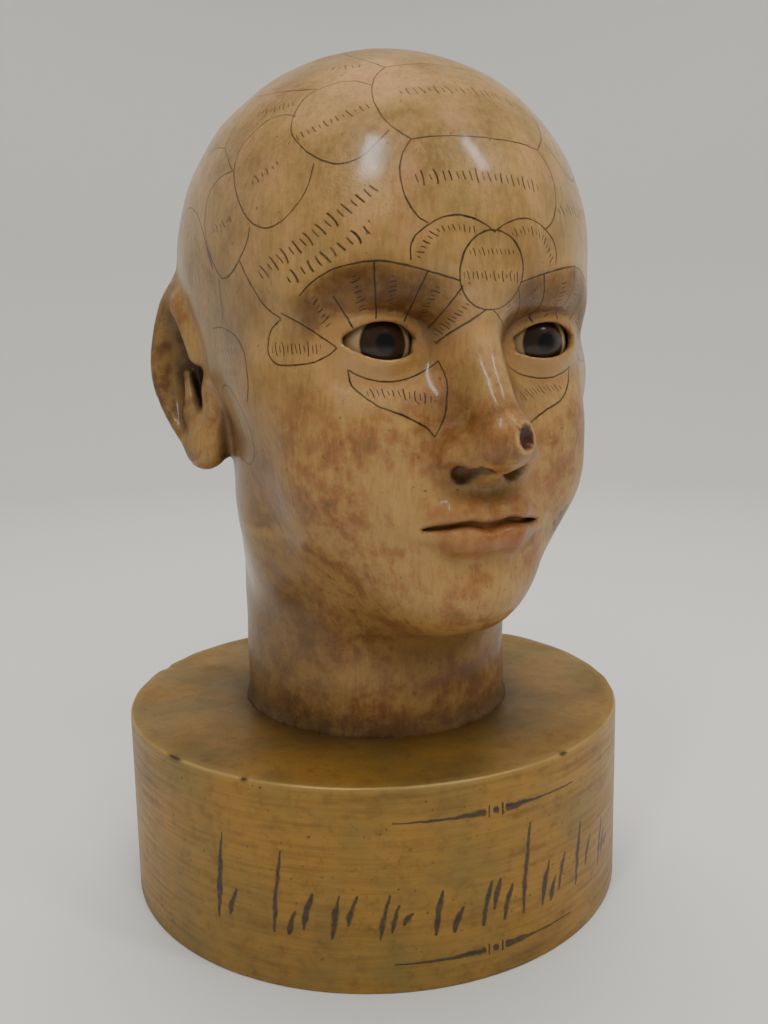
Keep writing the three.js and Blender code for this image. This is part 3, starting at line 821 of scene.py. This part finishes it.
def inkMask(tree, layers, rows, place):
    wobble = noise(tree, place, 3.0, 2.0)
    shift = ranged(tree, wobble, 0.0, 1.0, -0.25, 0.25)
    thick = noise(tree, place, 9.0, 1.0)
    half = ranged(tree, thick, 0.3, 0.7, 0.2, 0.36)
    total = None
    for layer in range(layers):
        values = channelsOf(tree, f'ink{layer}')
        for across, past in (values[:2], values[2:]):
            shifted = maths(tree, 'ADD', across, shift)
            away = maths(tree, 'ABSOLUTE', shifted)
            gap = maths(tree, 'SUBTRACT', away, half)
            line = ranged(tree, gap, 0.1, -0.12, 0.0, 1.0)
            stop = ranged(tree, past, 0.25, -0.25, 0.0, 1.0)
            both = maths(tree, 'MULTIPLY', line, stop)
            total = both if total is None else maths(tree, 'MAXIMUM', total, both)
    for layer in range(rows):
        along, across, past, seed = channelsOf(tree, f'pen{layer}')
        for turnOf, widthOf, heightOf in ((0.0, 0.065, 1.0), (41.0, 0.05, 0.6)):
            cell = maths(tree, 'ADD', along, turnOf * 0.0113)
            whole = maths(tree, 'FLOOR', cell)
            inside = maths(tree, 'SUBTRACT', cell, whole)
            key = maths(tree, 'MULTIPLY_ADD', seed, 17.3, whole)
            key = maths(tree, 'ADD', key, turnOf)
            chance = addNode(tree, 'ShaderNodeTexWhiteNoise', {'W': key}, noise_dimensions='1D')
            shares = addNode(tree, 'ShaderNodeSeparateColor', {'Color': chance.outputs['Color']})
            lean = ranged(tree, shares.outputs[0], 0.0, 1.0, 0.12, 0.5)
            bend = ranged(tree, shares.outputs[1], 0.0, 1.0, -0.6, 0.6)
            tall = ranged(tree, shares.outputs[2], 0.0, 1.0, 0.26 * heightOf, 0.5 * heightOf)
            squared = maths(tree, 'MULTIPLY', across, across)
            curve = maths(tree, 'MULTIPLY_ADD', squared, bend, 0.5)
            line = maths(tree, 'MULTIPLY_ADD', across, lean, curve)
            away = maths(tree, 'SUBTRACT', inside, line)
            away = maths(tree, 'ABSOLUTE', away)
            stroke = ranged(tree, away, widthOf + 0.03, widthOf - 0.03, 0.0, 1.0)
            level = maths(tree, 'ABSOLUTE', across)
            level = maths(tree, 'SUBTRACT', level, tall)
            tip = ranged(tree, level, 0.04, -0.04, 0.0, 1.0)
            stop = ranged(tree, past, 0.2, -0.2, 0.0, 1.0)
            both = maths(tree, 'MULTIPLY', stroke, tip)
            both = maths(tree, 'MULTIPLY', both, stop)
            total = maths(tree, 'MAXIMUM', total, both)
    return total


def newMaterial(name):
    material = bpy.data.materials.new(name)
    material.use_nodes = True
    tree = material.node_tree
    tree.nodes.clear()
    shader = addNode(tree, 'ShaderNodeBsdfPrincipled')
    addNode(tree, 'ShaderNodeOutputMaterial', {'Surface': shader})
    place = addNode(tree, 'ShaderNodeTexCoord').outputs['Object']
    return material, tree, shader, place


def varnishedPaint(layers, rows):
    tones = headFinish
    material, tree, shader, place = newMaterial('varnishedPaintOnWood')
    hollow, crease, ridge, faint = channelsOf(tree, 'form')
    lips, brow, earShade, face = channelsOf(tree, 'paint')
    chip, chipRim, socket, lid = channelsOf(tree, 'marks')
    throat, foot, noseSideShade, temple = channelsOf(tree, 'low')

    patch = noise(tree, place, tones['patch'], 4.0, 0.6)
    fleck = noise(tree, place, tones['fleck'], 5.0, 0.65)
    grain = noise(tree, place, tones['grain'], 3.0)
    blot = noise(tree, place, tones['blot'], 6.0, 0.6)

    skullTone = ramp(tree, patch, (0.32, tones['deep']), (0.68, tones['light']), (0.5, tones['mid']))
    flecks = ranged(tree, fleck, 0.52, 0.72, 0.0, 0.4)
    skullTone = washed(tree, skullTone, flecks, tones['deep'])

    cloud = noise(tree, place, tones['cloud'], 5.0, 0.65)
    for start, end, shade in ((0.46, 0.3, '#8A7440'), (0.54, 0.7, '#B27F58')):
        share = ranged(tree, cloud, start, end, 0.0, 0.55)
        skullTone = washed(tree, skullTone, share, shade)
    mottle = maths(tree, 'MULTIPLY_ADD', patch, 0.9, blot)
    mottle = maths(tree, 'MULTIPLY_ADD', fleck, 0.35, mottle)
    mottle = ranged(tree, mottle, 0.8, 1.44, 0.0, 1.0)
    lowTone = ramp(tree, mottle, (0.0, tones['umber']), (1.0, tones['cream']), (0.3, tones['sienna']),
                   (0.62, tones['mid']))
    brushed = addNode(tree, 'ShaderNodeMapping', {'Vector': place, 'Scale': (1.0, 1.0, 0.22)})
    brushed = noise(tree, brushed, tones['brushed'], 4.0, 0.7)
    lowShare = maths(tree, 'MAXIMUM', face, throat)
    unsure = ranged(tree, blot, 0.3, 0.7, 0.55, 1.15)
    lowShare = addNode(tree, 'ShaderNodeMath', {0: lowShare, 1: unsure}, operation='MULTIPLY', use_clamp=True)
    tone = addNode(tree, 'ShaderNodeMix', {
        'Factor': lowShare, 'A': skullTone, 'B': lowTone}, data_type='RGBA')

    # fine brush marks and specks of dirt over it all
    share = ranged(tree, brushed, 0.5, 0.75, 0.0, 0.4)
    tone = washed(tree, tone, share, '#6A4726')
    share = ranged(tree, brushed, 0.5, 0.25, 0.0, 0.35)
    tone = washed(tree, tone, share, '#B4935C')
    speck = noise(tree, place, 2.2, 1.0)
    share = ranged(tree, speck, 0.72, 0.79, 0.0, 0.55)
    tone = washed(tree, tone, share, '#3F2A17')

    # broad washes laid over the mottling, each with its own strength: (mask, strength, tone)
    # the wash down the sides of the nose is painted shade
    washes = [(temple, 0.55, '#5E4A2E'), (throat, 0.42, '#4E3318'), (earShade, 0.8, '#44301A'),
              (noseSideShade, 0.75, '#653B17'), (foot, 1.0, '#40270F'), (brow, 0.9, '#4A2B08')]
    for mask, strength, washTone in washes:
        share = ranged(tree, mottle, 0.2, 0.8, strength, strength * 0.6)
        share = maths(tree, 'MULTIPLY', mask, share)
        tone = washed(tree, tone, share, washTone)
    lidShare = maths(tree, 'MULTIPLY', lid, 0.45)
    tone = washed(tree, tone, lidShare, '#9A6034')
    lipShare = maths(tree, 'MULTIPLY', lips, 0.48)
    tone = washed(tree, tone, lipShare, tones['lip'])

    worn = maths(tree, 'MULTIPLY', ridge, fleck)
    worn = ranged(tree, worn, 0.16, 0.4, 0.0, 0.6)
    tone = washed(tree, tone, worn, tones['cream'])
    # painted shade with patina in the hollows and creases, plus the dark foot; the lids and lips are mostly
    # spared
    shadeAndPatinaShare = maths(tree, 'ADD', hollow, crease)
    shadeAndPatinaShare = maths(tree, 'MULTIPLY_ADD', shadeAndPatinaShare, blot, foot)
    shadeAndPatinaShare = ranged(tree, shadeAndPatinaShare, 0.22, 0.95, 0.0, 0.85)
    spared = maths(tree, 'MAXIMUM', lid, lips)
    spared = ranged(tree, spared, 0.0, 1.0, 1.0, 0.2)
    shadeAndPatinaShare = maths(tree, 'MULTIPLY', shadeAndPatinaShare, spared)
    tone = washed(tree, tone, shadeAndPatinaShare, tones['hollowShadeAndPatina'])

    tone = washed(tree, tone, chipRim, '#C79A63')
    tone = washed(tree, tone, chip, '#3A150C')
    # painted shade: near black in the gap round the glass eye
    tone = washed(tree, tone, socket, '#1B110A')

    inked = inkMask(tree, layers, rows, place)
    rub = ranged(tree, fleck, 0.4, 0.66, 1.0, 0.7)
    inked = maths(tree, 'MULTIPLY', inked, faint)
    inked = maths(tree, 'MULTIPLY', inked, rub)
    tone = washed(tree, tone, inked, tones['inkTone'])
    tree.links.new(tone.outputs[2], shader.inputs['Base Color'])

    dull = ranged(tree, lowShare, 0.0, 1.0, 0.3, 0.46)
    dull = maths(tree, 'MULTIPLY_ADD', fleck, 0.16, dull)
    tree.links.new(dull.outputs[0], shader.inputs['Roughness'])
    shader.inputs['IOR'].default_value = 1.5
    shader.inputs['Coat Roughness'].default_value = 0.16
    shader.inputs['Specular IOR Level'].default_value = 0.3
    varnish = maths(tree, 'MULTIPLY', brow, 1.3)
    varnish = maths(tree, 'MAXIMUM', varnish, lowShare)
    varnish = ranged(tree, varnish, 0.0, 1.3, 0.5, 0.05)
    tree.links.new(varnish.outputs[0], shader.inputs['Coat Weight'])
    relief = maths(tree, 'MULTIPLY_ADD', fleck, 2.0, grain)
    bump = addNode(tree, 'ShaderNodeBump', {'Height': relief, 'Strength': 0.5, 'Distance': 0.0003})
    tree.links.new(bump.outputs[0], shader.inputs['Normal'])
    return material


head = meshPiece('head_carving', inMetres(headPoints), headQuads[:, ::-1])
toneLayers(head.data, headPoints)
for dot in seen(dotPicks):
    headLines.append(headLine([(dot[0] - 0.25, dot[1]), (dot[0] + 0.25, dot[1])], 1.5))
inkLayers = inkChannels(head.data, headPoints, headLines, 'ink')
paired = struckRows(pairedRows)
headRows = struckRows(middleRows) + paired + struckRows(rightRows)
headRows += [(mirrored(points)[::-1], height, pitch) for points, height, pitch in paired] + [farRow]
penLayers = rowLayers(head.data, headPoints, headRows, 'pen')
head.data.materials.append(varnishedPaint(inkLayers, penLayers))
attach(head, 'root')
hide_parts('head')
print('head finished')


# The eyes are glass balls with a slight bulge over the iris, let in behind the lids.
eyeball = dict(turns=72, rings=48, bulge=0.45, bulgeReach=7.0, irisReach=7.9, pupilReach=3.3)


def paintedGlass():
    # glass painted from behind: a deep brown iris under a hard clear gloss, an aged white round it
    material, tree, shader, place = newMaterial('paintedGlassEye')
    x, y, z = addNode(tree, 'ShaderNodeSeparateXYZ', {'Vector': place}).outputs
    x = maths(tree, 'ABSOLUTE', x)
    x = maths(tree, 'ADD', x, -eye['x'] / 1000)
    z = maths(tree, 'ADD', z, -(eye['z'] + plinthTop) / 1000)
    flat = addNode(tree, 'ShaderNodeCombineXYZ', {'X': x, 'Z': z})
    reach = addNode(tree, 'ShaderNodeVectorMath', {0: flat}, operation='LENGTH')
    reach = maths(tree, 'MULTIPLY', reach.outputs['Value'], 1000.0)
    spin = maths(tree, 'ARCTAN2', x, z)
    spoke = addNode(tree, 'ShaderNodeCombineXYZ', {'X': spin, 'Y': reach})
    fibre = addNode(tree, 'ShaderNodeTexNoise', {'Vector': spoke, 'Scale': 5.0, 'Detail': 3.0})
    cloud = noise(tree, place, 5.0, 4.0)
    white = addNode(tree, 'ShaderNodeMix', {
        'Factor': cloud, 'A': linear('#8E7450'), 'B': linear('#A08B69')}, data_type='RGBA')
    # painted shade: the white darkens towards the corners, where the lids close over the ball
    rim = ranged(tree, reach, 12.5, 9.0, 0.8, 0.0)
    white = washed(tree, white, rim, '#5B3A20')
    brown = addNode(tree, 'ShaderNodeMix', {
        'Factor': fibre, 'A': linear('#0A0603'), 'B': linear('#3A2613')}, data_type='RGBA')
    iris = ranged(tree, reach, eyeball['irisReach'] + 0.3, eyeball['irisReach'] - 0.3, 0.0, 1.0)
    tone = addNode(tree, 'ShaderNodeMix', {'Factor': iris, 'A': white, 'B': brown}, data_type='RGBA')
    pupil = ranged(tree, reach, eyeball['pupilReach'] + 0.4, eyeball['pupilReach'] - 0.4, 0.0, 1.0)
    tone = washed(tree, tone, pupil, '#050403')
    tree.links.new(tone.outputs[2], shader.inputs['Base Color'])
    shader.inputs['Roughness'].default_value = 0.3
    shader.inputs['IOR'].default_value = 1.5
    shader.inputs['Specular IOR Level'].default_value = 0.3
    shader.inputs['Coat Weight'].default_value = 0.3
    shader.inputs['Coat Roughness'].default_value = 0.06
    return material


def makeEye(name, node, side, material):
    turns, rings = eyeball['turns'], eyeball['rings']
    points = [(0, 1, 0)]
    for ring in range(1, rings):
        lean = ring / rings * tau / 2
        points += [(sin(lean) * cos(k * tau / turns), cos(lean), sin(lean) * sin(k * tau / turns))
                   for k in range(turns)]
    points.append((0, -1, 0))
    points = np.array(points)
    across = np.hypot(points[:, 0], points[:, 2]) * eye['r']
    bulge = np.clip(1 - (across / eyeball['bulgeReach']) ** 2, 0, 1) * (points[:, 1] > 0)
    points = points * (eye['r'] + eyeball['bulge'] * bulge)[:, None]
    mesh = bpy.data.meshes.new(name)
    last = len(points) - 1
    faces = []
    for k in range(turns):
        after = (k + 1) % turns
        faces.append((0, 1 + k, 1 + after))
        for ring in range(rings - 2):
            a, b = 1 + ring * turns, 1 + (ring + 1) * turns
            faces.append((a + k, b + k, b + after, a + after))
        a = 1 + (rings - 2) * turns
        faces.append((a + k, last, a + after))
    centre = np.array([side * eye['x'], eye['f'], eye['z']])
    mesh.from_pydata(inMetres(points + centre).tolist(), [], faces)
    mesh.update()
    mesh.shade_smooth()
    mesh.materials.append(material)
    piece = bpy.data.objects.new(name, mesh)
    bpy.context.scene.collection.objects.link(piece)
    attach(piece, 'root')
    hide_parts(node)
    return piece


glass = paintedGlass()
makeEye('glass_eye_right', 'eye_right', -1, glass)
makeEye('glass_eye_left', 'eye_left', 1, glass)
print('eyes finished')


# The plinth is turned: one outline, swept round the upright axis.
plinth = dict(
    radius=102.0, height=74.0, topRounding=1.1, footRounding=0.8, around=640, sideSteps=70, topSteps=26,
    rimWear=0.35, chips=[(-67, 8.0, 0.8), (-48, 3.0, 0.5), (19, 4.0, 0.4),
                         (118, 5.0, 1.1), (171, 3.0, 0.9), (-130, 4.2, 1.0)])


def turnedTree():
    tree = bpy.data.node_groups.new('turnedPlinth', 'GeometryNodeTree')
    for name in ('Radius', 'Height', 'Top rounding', 'Foot rounding'):
        tree.interface.new_socket(name, in_out='INPUT', socket_type='NodeSocketFloat')
    for name in ('Around', 'Side steps', 'Top steps'):
        tree.interface.new_socket(name, in_out='INPUT', socket_type='NodeSocketInt')
    tree.interface.new_socket('Finish', in_out='INPUT', socket_type='NodeSocketMaterial')
    tree.interface.new_socket('Geometry', in_out='OUTPUT', socket_type='NodeSocketGeometry')
    given = addNode(tree, 'NodeGroupInput').outputs
    index = addNode(tree, 'GeometryNodeInputIndex')
    fromMiddle = maths(tree, 'SUBTRACT', index, 1.5)
    fromMiddle = maths(tree, 'ABSOLUTE', fromMiddle)
    onAxis = maths(tree, 'GREATER_THAN', fromMiddle, 1.0)
    isTop = maths(tree, 'LESS_THAN', index, 1.5)
    inward = maths(tree, 'MULTIPLY', onAxis, given['Radius'])
    inward = maths(tree, 'MULTIPLY', inward, -1.0)
    drop = maths(tree, 'MULTIPLY', isTop, given['Height'])
    drop = maths(tree, 'MULTIPLY', drop, -1.0)
    place = addNode(tree, 'ShaderNodeCombineXYZ', {'X': inward, 'Y': drop})
    corners = addNode(tree, 'GeometryNodePoints', {'Count': 4, 'Position': place})
    outline = addNode(tree, 'GeometryNodePointsToCurves', {'Points': corners, 'Weight': index})
    rounding = addNode(tree, 'GeometryNodeSwitch', {
        'Switch': isTop, 'False': given['Foot rounding'], 'True': given['Top rounding']}, input_type='FLOAT')
    rounded = addNode(tree, 'GeometryNodeFilletCurve', {
        'Curve': outline, 'Count': 6, 'Radius': rounding}, mode='POLY')
    # after the rounding, point 0 starts the top, point 7 the side and point 14 the underside
    startsSide = addNode(
        tree, 'FunctionNodeCompare', {'A': index, 'B': 7}, data_type='INT', operation='EQUAL')
    startsTop = addNode(
        tree, 'FunctionNodeCompare', {'A': index, 'B': 0}, data_type='INT', operation='EQUAL')
    topCuts = addNode(tree, 'GeometryNodeSwitch', {
        'Switch': startsTop, 'False': 0, 'True': given['Top steps']}, input_type='INT')
    cuts = addNode(tree, 'GeometryNodeSwitch', {
        'Switch': startsSide, 'False': topCuts, 'True': given['Side steps']}, input_type='INT')
    stepped = addNode(tree, 'GeometryNodeSubdivideCurve', {'Curve': rounded, 'Cuts': cuts})
    circle = addNode(tree, 'GeometryNodeCurvePrimitiveCircle', {
        'Resolution': given['Around'], 'Radius': given['Radius']}, mode='RADIUS')
    upright = addNode(tree, 'GeometryNodeSetCurveNormal', {'Curve': circle}, mode='Z_UP')
    swept = addNode(tree, 'GeometryNodeCurveToMesh', {'Curve': upright, 'Profile Curve': stepped})
    closed = addNode(tree, 'GeometryNodeMergeByDistance', {'Geometry': swept, 'Distance': 1e-6})
    real = addNode(tree, 'GeometryNodeRealizeInstances', {'Geometry': closed})
    coated = addNode(tree, 'GeometryNodeSetMaterial', {'Geometry': real, 'Material': given['Finish']})
    addNode(tree, 'NodeGroupOutput', {'Geometry': coated})
    return tree


def fromTree(name, tree, values):
    # runs the tree once and keeps its result as a plain mesh
    base = bpy.data.objects.new(name + '_base', bpy.data.meshes.new(name + '_base'))
    bpy.context.scene.collection.objects.link(base)
    modifier = base.modifiers.new('tree', 'NODES')
    modifier.node_group = tree
    for item in tree.interface.items_tree:
        if item.in_out == 'INPUT' and item.name in values:
            modifier[item.identifier] = values[item.name]
    evaluated = base.evaluated_get(bpy.context.evaluated_depsgraph_get())
    mesh = bpy.data.meshes.new_from_object(evaluated)
    mesh.name = name
    bpy.data.objects.remove(base)
    piece = bpy.data.objects.new(name, mesh)
    bpy.context.scene.collection.objects.link(piece)
    return piece


# Bronze powder paint over a turned drum, brushed round it: dull gold, olive where it has aged.
plinthFinish = dict(gold='#997231', olive='#7F6834', brown='#5E4422', bright='#BFA062', strokeTone='#17120C')


def bronzePaint(layers):
    tones = plinthFinish
    material, tree, shader, place = newMaterial('bronzePaint')
    rim, darkNearNeck, chipped, _ = channelsOf(tree, 'wear')
    # streaks lie level: about 35 mm long and 1.5 mm high
    level = addNode(tree, 'ShaderNodeMapping', {'Vector': place, 'Scale': (0.045, 0.045, 1.0)})
    streak = noise(tree, level, 1.5, 5.0, 0.65)
    level = addNode(tree, 'ShaderNodeMapping', {'Vector': place, 'Scale': (0.16, 0.16, 1.0)})
    broad = noise(tree, level, 6.0, 4.0, 0.6)
    patch = noise(tree, place, 38.0, 5.0, 0.6)
    speck = noise(tree, place, 1.8, 2.0)

    tone = ramp(tree, patch, (0.36, tones['olive']), (0.6, tones['gold']))
    share = ranged(tree, streak, 0.45, 0.75, 0.0, 0.34)
    tone = washed(tree, tone, share, tones['brown'])
    share = ranged(tree, broad, 0.52, 0.72, 0.0, 0.45)
    tone = washed(tree, tone, share, tones['brown'])
    dapple = noise(tree, place, 5.0, 6.0, 0.7)
    share = ranged(tree, dapple, 0.5, 0.72, 0.0, 0.5)
    tone = washed(tree, tone, share, tones['brown'])
    share = ranged(tree, speck, 0.68, 0.76, 0.0, 0.6)
    tone = washed(tree, tone, share, '#2C1F12')
    # darker close to the neck on the plinth's top
    share = maths(tree, 'MULTIPLY', darkNearNeck, 0.75)
    tone = washed(tree, tone, share, '#3F2A12')
    share = ranged(tree, streak, 0.3, 0.6, 0.25, 1.0)
    share = maths(tree, 'MULTIPLY', rim, share)
    tone = washed(tree, tone, share, tones['bright'])
    tone = washed(tree, tone, chipped, '#3A2917')
    inked = inkMask(tree, layers, 0, place)
    rub = ranged(tree, streak, 0.4, 0.8, 0.95, 0.6)
    inked = maths(tree, 'MULTIPLY', inked, rub)
    tone = washed(tree, tone, inked, tones['strokeTone'])
    tree.links.new(tone.outputs[2], shader.inputs['Base Color'])
    covered = maths(tree, 'MAXIMUM', inked, chipped)
    metal = ranged(tree, covered, 0.0, 1.0, 0.45, 0.0)
    tree.links.new(metal.outputs[0], shader.inputs['Metallic'])
    dull = ranged(tree, streak, 0.3, 0.7, 0.36, 0.56)
    tree.links.new(dull.outputs[0], shader.inputs['Roughness'])
    relief = maths(tree, 'MULTIPLY_ADD', speck, 0.4, streak)
    bump = addNode(tree, 'ShaderNodeBump', {'Height': relief, 'Strength': 0.3, 'Distance': 0.00025})
    tree.links.new(bump.outputs[0], shader.inputs['Normal'])
    return material


# Painted strokes on the drum's side, in groups: the first and last foot, picked in the photograph's
# pixels, and the height of the tallest stroke in mm.
plinthStrokes = dict(
    groups=[((218, 912), (240, 922), 52), ((272, 928), (317, 936), 50), ((330, 938), (362, 940), 36),
            ((379, 940), (414, 940), 36), ((433, 934), (470, 932), 36), ((482, 925), (513, 915), 36),
            ((522, 912), (533, 908), 53), ((541, 903), (565, 893), 36), ((574, 890), (592, 876), 44),
            ((597, 866), (605, 853), 38)],
    foot=20.0, waist=36.0, width=3.4, ornamentWidth=4.6, ornamentReach=20.5, ornamentMiddle=1.4,
    ornamentHeights=(61.3, 10.8))


def drumLine(path, widths):
    path = smoothLine(path, 0.5)
    azimuth = np.radians(path[:, 0])
    points = np.stack([np.sin(azimuth) * plinth['radius'], np.cos(azimuth) * plinth['radius'], path[:, 1]], 1)
    normals = points * np.array([1, 1, 0]) / plinth['radius']
    share = np.linspace(0, 1, len(points))
    return brushLine(points, normals, np.interp(share, np.linspace(0, 1, len(widths)), widths))


def seenOnDrum(picks):
    # the azimuths at which picked pixels lie on the drum's side
    start, way = sightLines(picks)
    flat, across = start[:2], way[:, :2]
    steep, toward = (across ** 2).sum(1), across @ flat
    short = np.sqrt(toward ** 2 - steep * (flat @ flat - plinth['radius'] ** 2))
    hit = flat - across * ((toward + short) / steep)[:, None]
    return np.degrees(np.arctan2(hit[:, 0], hit[:, 1]))


def drumLines():
    sizes = plinthStrokes
    lines = []
    w, foot = sizes['width'], sizes['foot']
    ends = seenOnDrum([pick for group in sizes['groups'] for pick in group[:2]]).reshape(-1, 2)
    for k, (left, right) in enumerate(ends):
        top = sizes['groups'][k][2]
        count = 1 if right - left < 3 else 2 + k % 2
        for j in range(count):
            at = left + (right - left) * (j + 0.15) / count
            lean = 1.5 + 0.4 * ((k + j) % 2)
            high = top if j == 0 else sizes['waist'] - 3.5 * ((k + j) % 3)
            low = foot + 2.5 * ((2 * k + j) % 3) * (j > 0)
            lines.append(drumLine([(at + lean, high), (at + lean * 0.35, (high + low) / 2), (at, low)],
                                  [0.35 * w, 0.9 * w, w, 0.4 * w]))
    middle, reach, thick = sizes['ornamentMiddle'], sizes['ornamentReach'], sizes['ornamentWidth']
    for height in sizes['ornamentHeights']:
        for side in (-1, 1):
            lines.append(drumLine([(middle + side * reach, height), (middle + side * reach * 0.55, height),
                                   (middle + side * 2.2, height)], [0.8, 1.1, 1.5, 2.3, thick]))
            lines.append(drumLine([(middle + side * 1.5, height + 2), (middle + side * 1.5, height),
                                   (middle + side * 1.5, height - 2)], [1.0, 1.0]))
        lines.append(drumLine([(middle - 0.5, height), (middle + 0.5, height)], [3.4, 3.4]))
    return lines


def makePlinth():
    sizes = plinth
    piece = fromTree('turned_plinth', turnedTree(), {
        'Radius': sizes['radius'] / 1000, 'Height': sizes['height'] / 1000,
        'Top rounding': sizes['topRounding'] / 1000, 'Foot rounding': sizes['footRounding'] / 1000,
        'Around': sizes['around'], 'Side steps': sizes['sideSteps'], 'Top steps': sizes['topSteps']})
    mesh = piece.data
    points = np.empty(len(mesh.vertices) * 3)
    mesh.vertices.foreach_get('co', points)
    points = points.reshape(-1, 3) * [1000, -1000, 1000]
    outward = np.hypot(points[:, 0], points[:, 1])
    azimuth = np.degrees(np.arctan2(points[:, 0], points[:, 1]))
    fromRim = np.hypot(outward - sizes['radius'], points[:, 2] - sizes['height'])
    arc = np.radians(azimuth) * sizes['radius']
    uneven = np.sin(arc * 0.21 + 1.7 * np.sin(arc * 0.053)) * np.sin(arc * 0.083 + 0.6) * 0.5 + 0.5
    dip = sizes['rimWear'] * uneven * np.exp(-(fromRim / 2.2) ** 2)
    chipped = np.zeros(len(points))
    for place, wide, deep in sizes['chips']:
        gap = (azimuth - place + 180) % 360 - 180
        bite = np.exp(-(gap * 1.78 / wide * 1.4) ** 2 - (fromRim / 1.3) ** 2)
        dip = dip + deep * bite
        chipped = np.maximum(chipped, np.clip(bite * 2.2 - 0.6, 0, 1))
    inward = np.stack([-points[:, 0], -points[:, 1], np.zeros(len(points))], 1)
    inward = inward / np.maximum(outward, 1)[:, None]
    points = points + (inward + [0, 0, -1]) * (dip * 0.7)[:, None]
    mesh.vertices.foreach_set('co', (points / [1000, -1000, 1000]).ravel())
    mesh.update()
    mesh.shade_smooth()
    rim = np.exp(-(fromRim / 0.9) ** 2)
    onTop = points[:, 2] > sizes['height'] - 1
    neckGap = (np.sqrt((points[:, 0] / 55) ** 2 + ((points[:, 1] - 2.5) / 58.5) ** 2) - 1) * 56
    # the plinth's top is darkened close to the neck
    darkNearNeck = np.clip(np.exp(-np.maximum(neckGap, 0) / 15), 0, 1) * onTop
    storeColour(mesh, 'wear', [rim, darkNearNeck, chipped, np.zeros(len(points))])
    layers = inkChannels(mesh, points, drumLines(), 'ink')
    mesh.materials.clear()
    mesh.materials.append(bronzePaint(layers))
    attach(piece, 'root')
    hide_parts('plinth')
    print('plinth finished:', len(mesh.polygons), 'faces')
    return piece


makePlinth()


# A pale floor that curves up behind, and soft light from above.
studio = dict(
    floorReach=1.35, bend=0.5, wallTop=2.3, wallTurn=158.0, wallHalf=105.0,
    tone='#D2D0CA', worldTone='#E6E6E6', worldStrength=0.27)


def makeFloor():
    reach, bend, turns = studio['floorReach'], studio['bend'], 96
    profile = [(0.0, 0.0), (0.3, 0.0), (0.8, 0.0), (reach, 0.0)]
    profile += [(reach + bend * sin(k * tau / 48), bend * (1 - cos(k * tau / 48))) for k in range(1, 13)]
    profile.append((reach + bend, studio['wallTop']))
    points, faces = [(0.0, 0.0, 0.0)], []
    for out, up in profile[1:]:
        for k in range(turns):
            turn = 360 * k / turns
            off = abs((turn - studio['wallTurn'] + 180) % 360 - 180)
            raised = min(max((studio['wallHalf'] - off) / 20, 0), 1)
            points.append((out * sin(radians(turn)), -out * cos(radians(turn)), up * raised))
    for k in range(turns):
        after = (k + 1) % turns
        faces.append((0, 1 + k, 1 + after))
        for ring in range(len(profile) - 2):
            a, b = 1 + ring * turns, 1 + (ring + 1) * turns
            faces.append((a + k, b + k, b + after, a + after))
    material, _, shader, _ = newMaterial('mattPaper')
    shader.inputs['Base Color'].default_value = linear(studio['tone'])
    shader.inputs['Roughness'].default_value = 0.75
    mesh = bpy.data.meshes.new('floor')
    mesh.from_pydata(points, [], faces)
    mesh.update()
    mesh.shade_smooth()
    mesh.materials.append(material)
    floor = bpy.data.objects.new('floor', mesh)
    bpy.context.scene.collection.objects.link(floor)


def makeCamera():
    data = bpy.data.cameras.new('camera')
    data.sensor_fit = 'VERTICAL'
    data.sensor_height = 36
    data.lens = data.sensor_height * camera['focal'] / picture['high']
    piece = bpy.data.objects.new('camera', data)
    bpy.context.scene.collection.objects.link(piece)
    piece.matrix_world = cameraPlace()
    bpy.context.scene.camera = piece


def softPanel(name, turn, rise, away, size, power, mirrored=True):
    # turn is from the camera towards the viewer's right
    data = bpy.data.lights.new(name, 'AREA')
    data.shape = 'RECTANGLE'
    data.size, data.size_y = size
    data.energy = power
    piece = bpy.data.objects.new(name, data)
    bpy.context.scene.collection.objects.link(piece)
    turn, rise = radians(turn + camera['turn']), radians(rise)
    back = Vector((sin(turn) * cos(rise), -cos(turn) * cos(rise), sin(rise)))
    aim = Vector((0, 0, 0.2))
    piece.location = aim + back * away
    piece.rotation_euler = back.to_track_quat('Z', 'Y').to_euler()
    piece.visible_glossy = mirrored
    piece.visible_camera = False


makeFloor()
makeCamera()
softPanel('panelAbove', -26, 52, 1.25, (0.13, 0.5), 4)
softPanel('panelRight', 56, 50, 1.25, (0.13, 0.5), 3)
softPanel('overhead', 180, 68, 1.7, (1.5, 1.5), 30, mirrored=False)
softPanel('front', 16, 40, 1.6, (0.8, 0.8), 13, mirrored=False)
world = bpy.data.worlds.new('studio')
world.use_nodes = True
world.node_tree.nodes['Background'].inputs['Color'].default_value = linear(studio['worldTone'])
world.node_tree.nodes['Background'].inputs['Strength'].default_value = studio['worldStrength']
bpy.context.scene.world = world
print('studio finished')
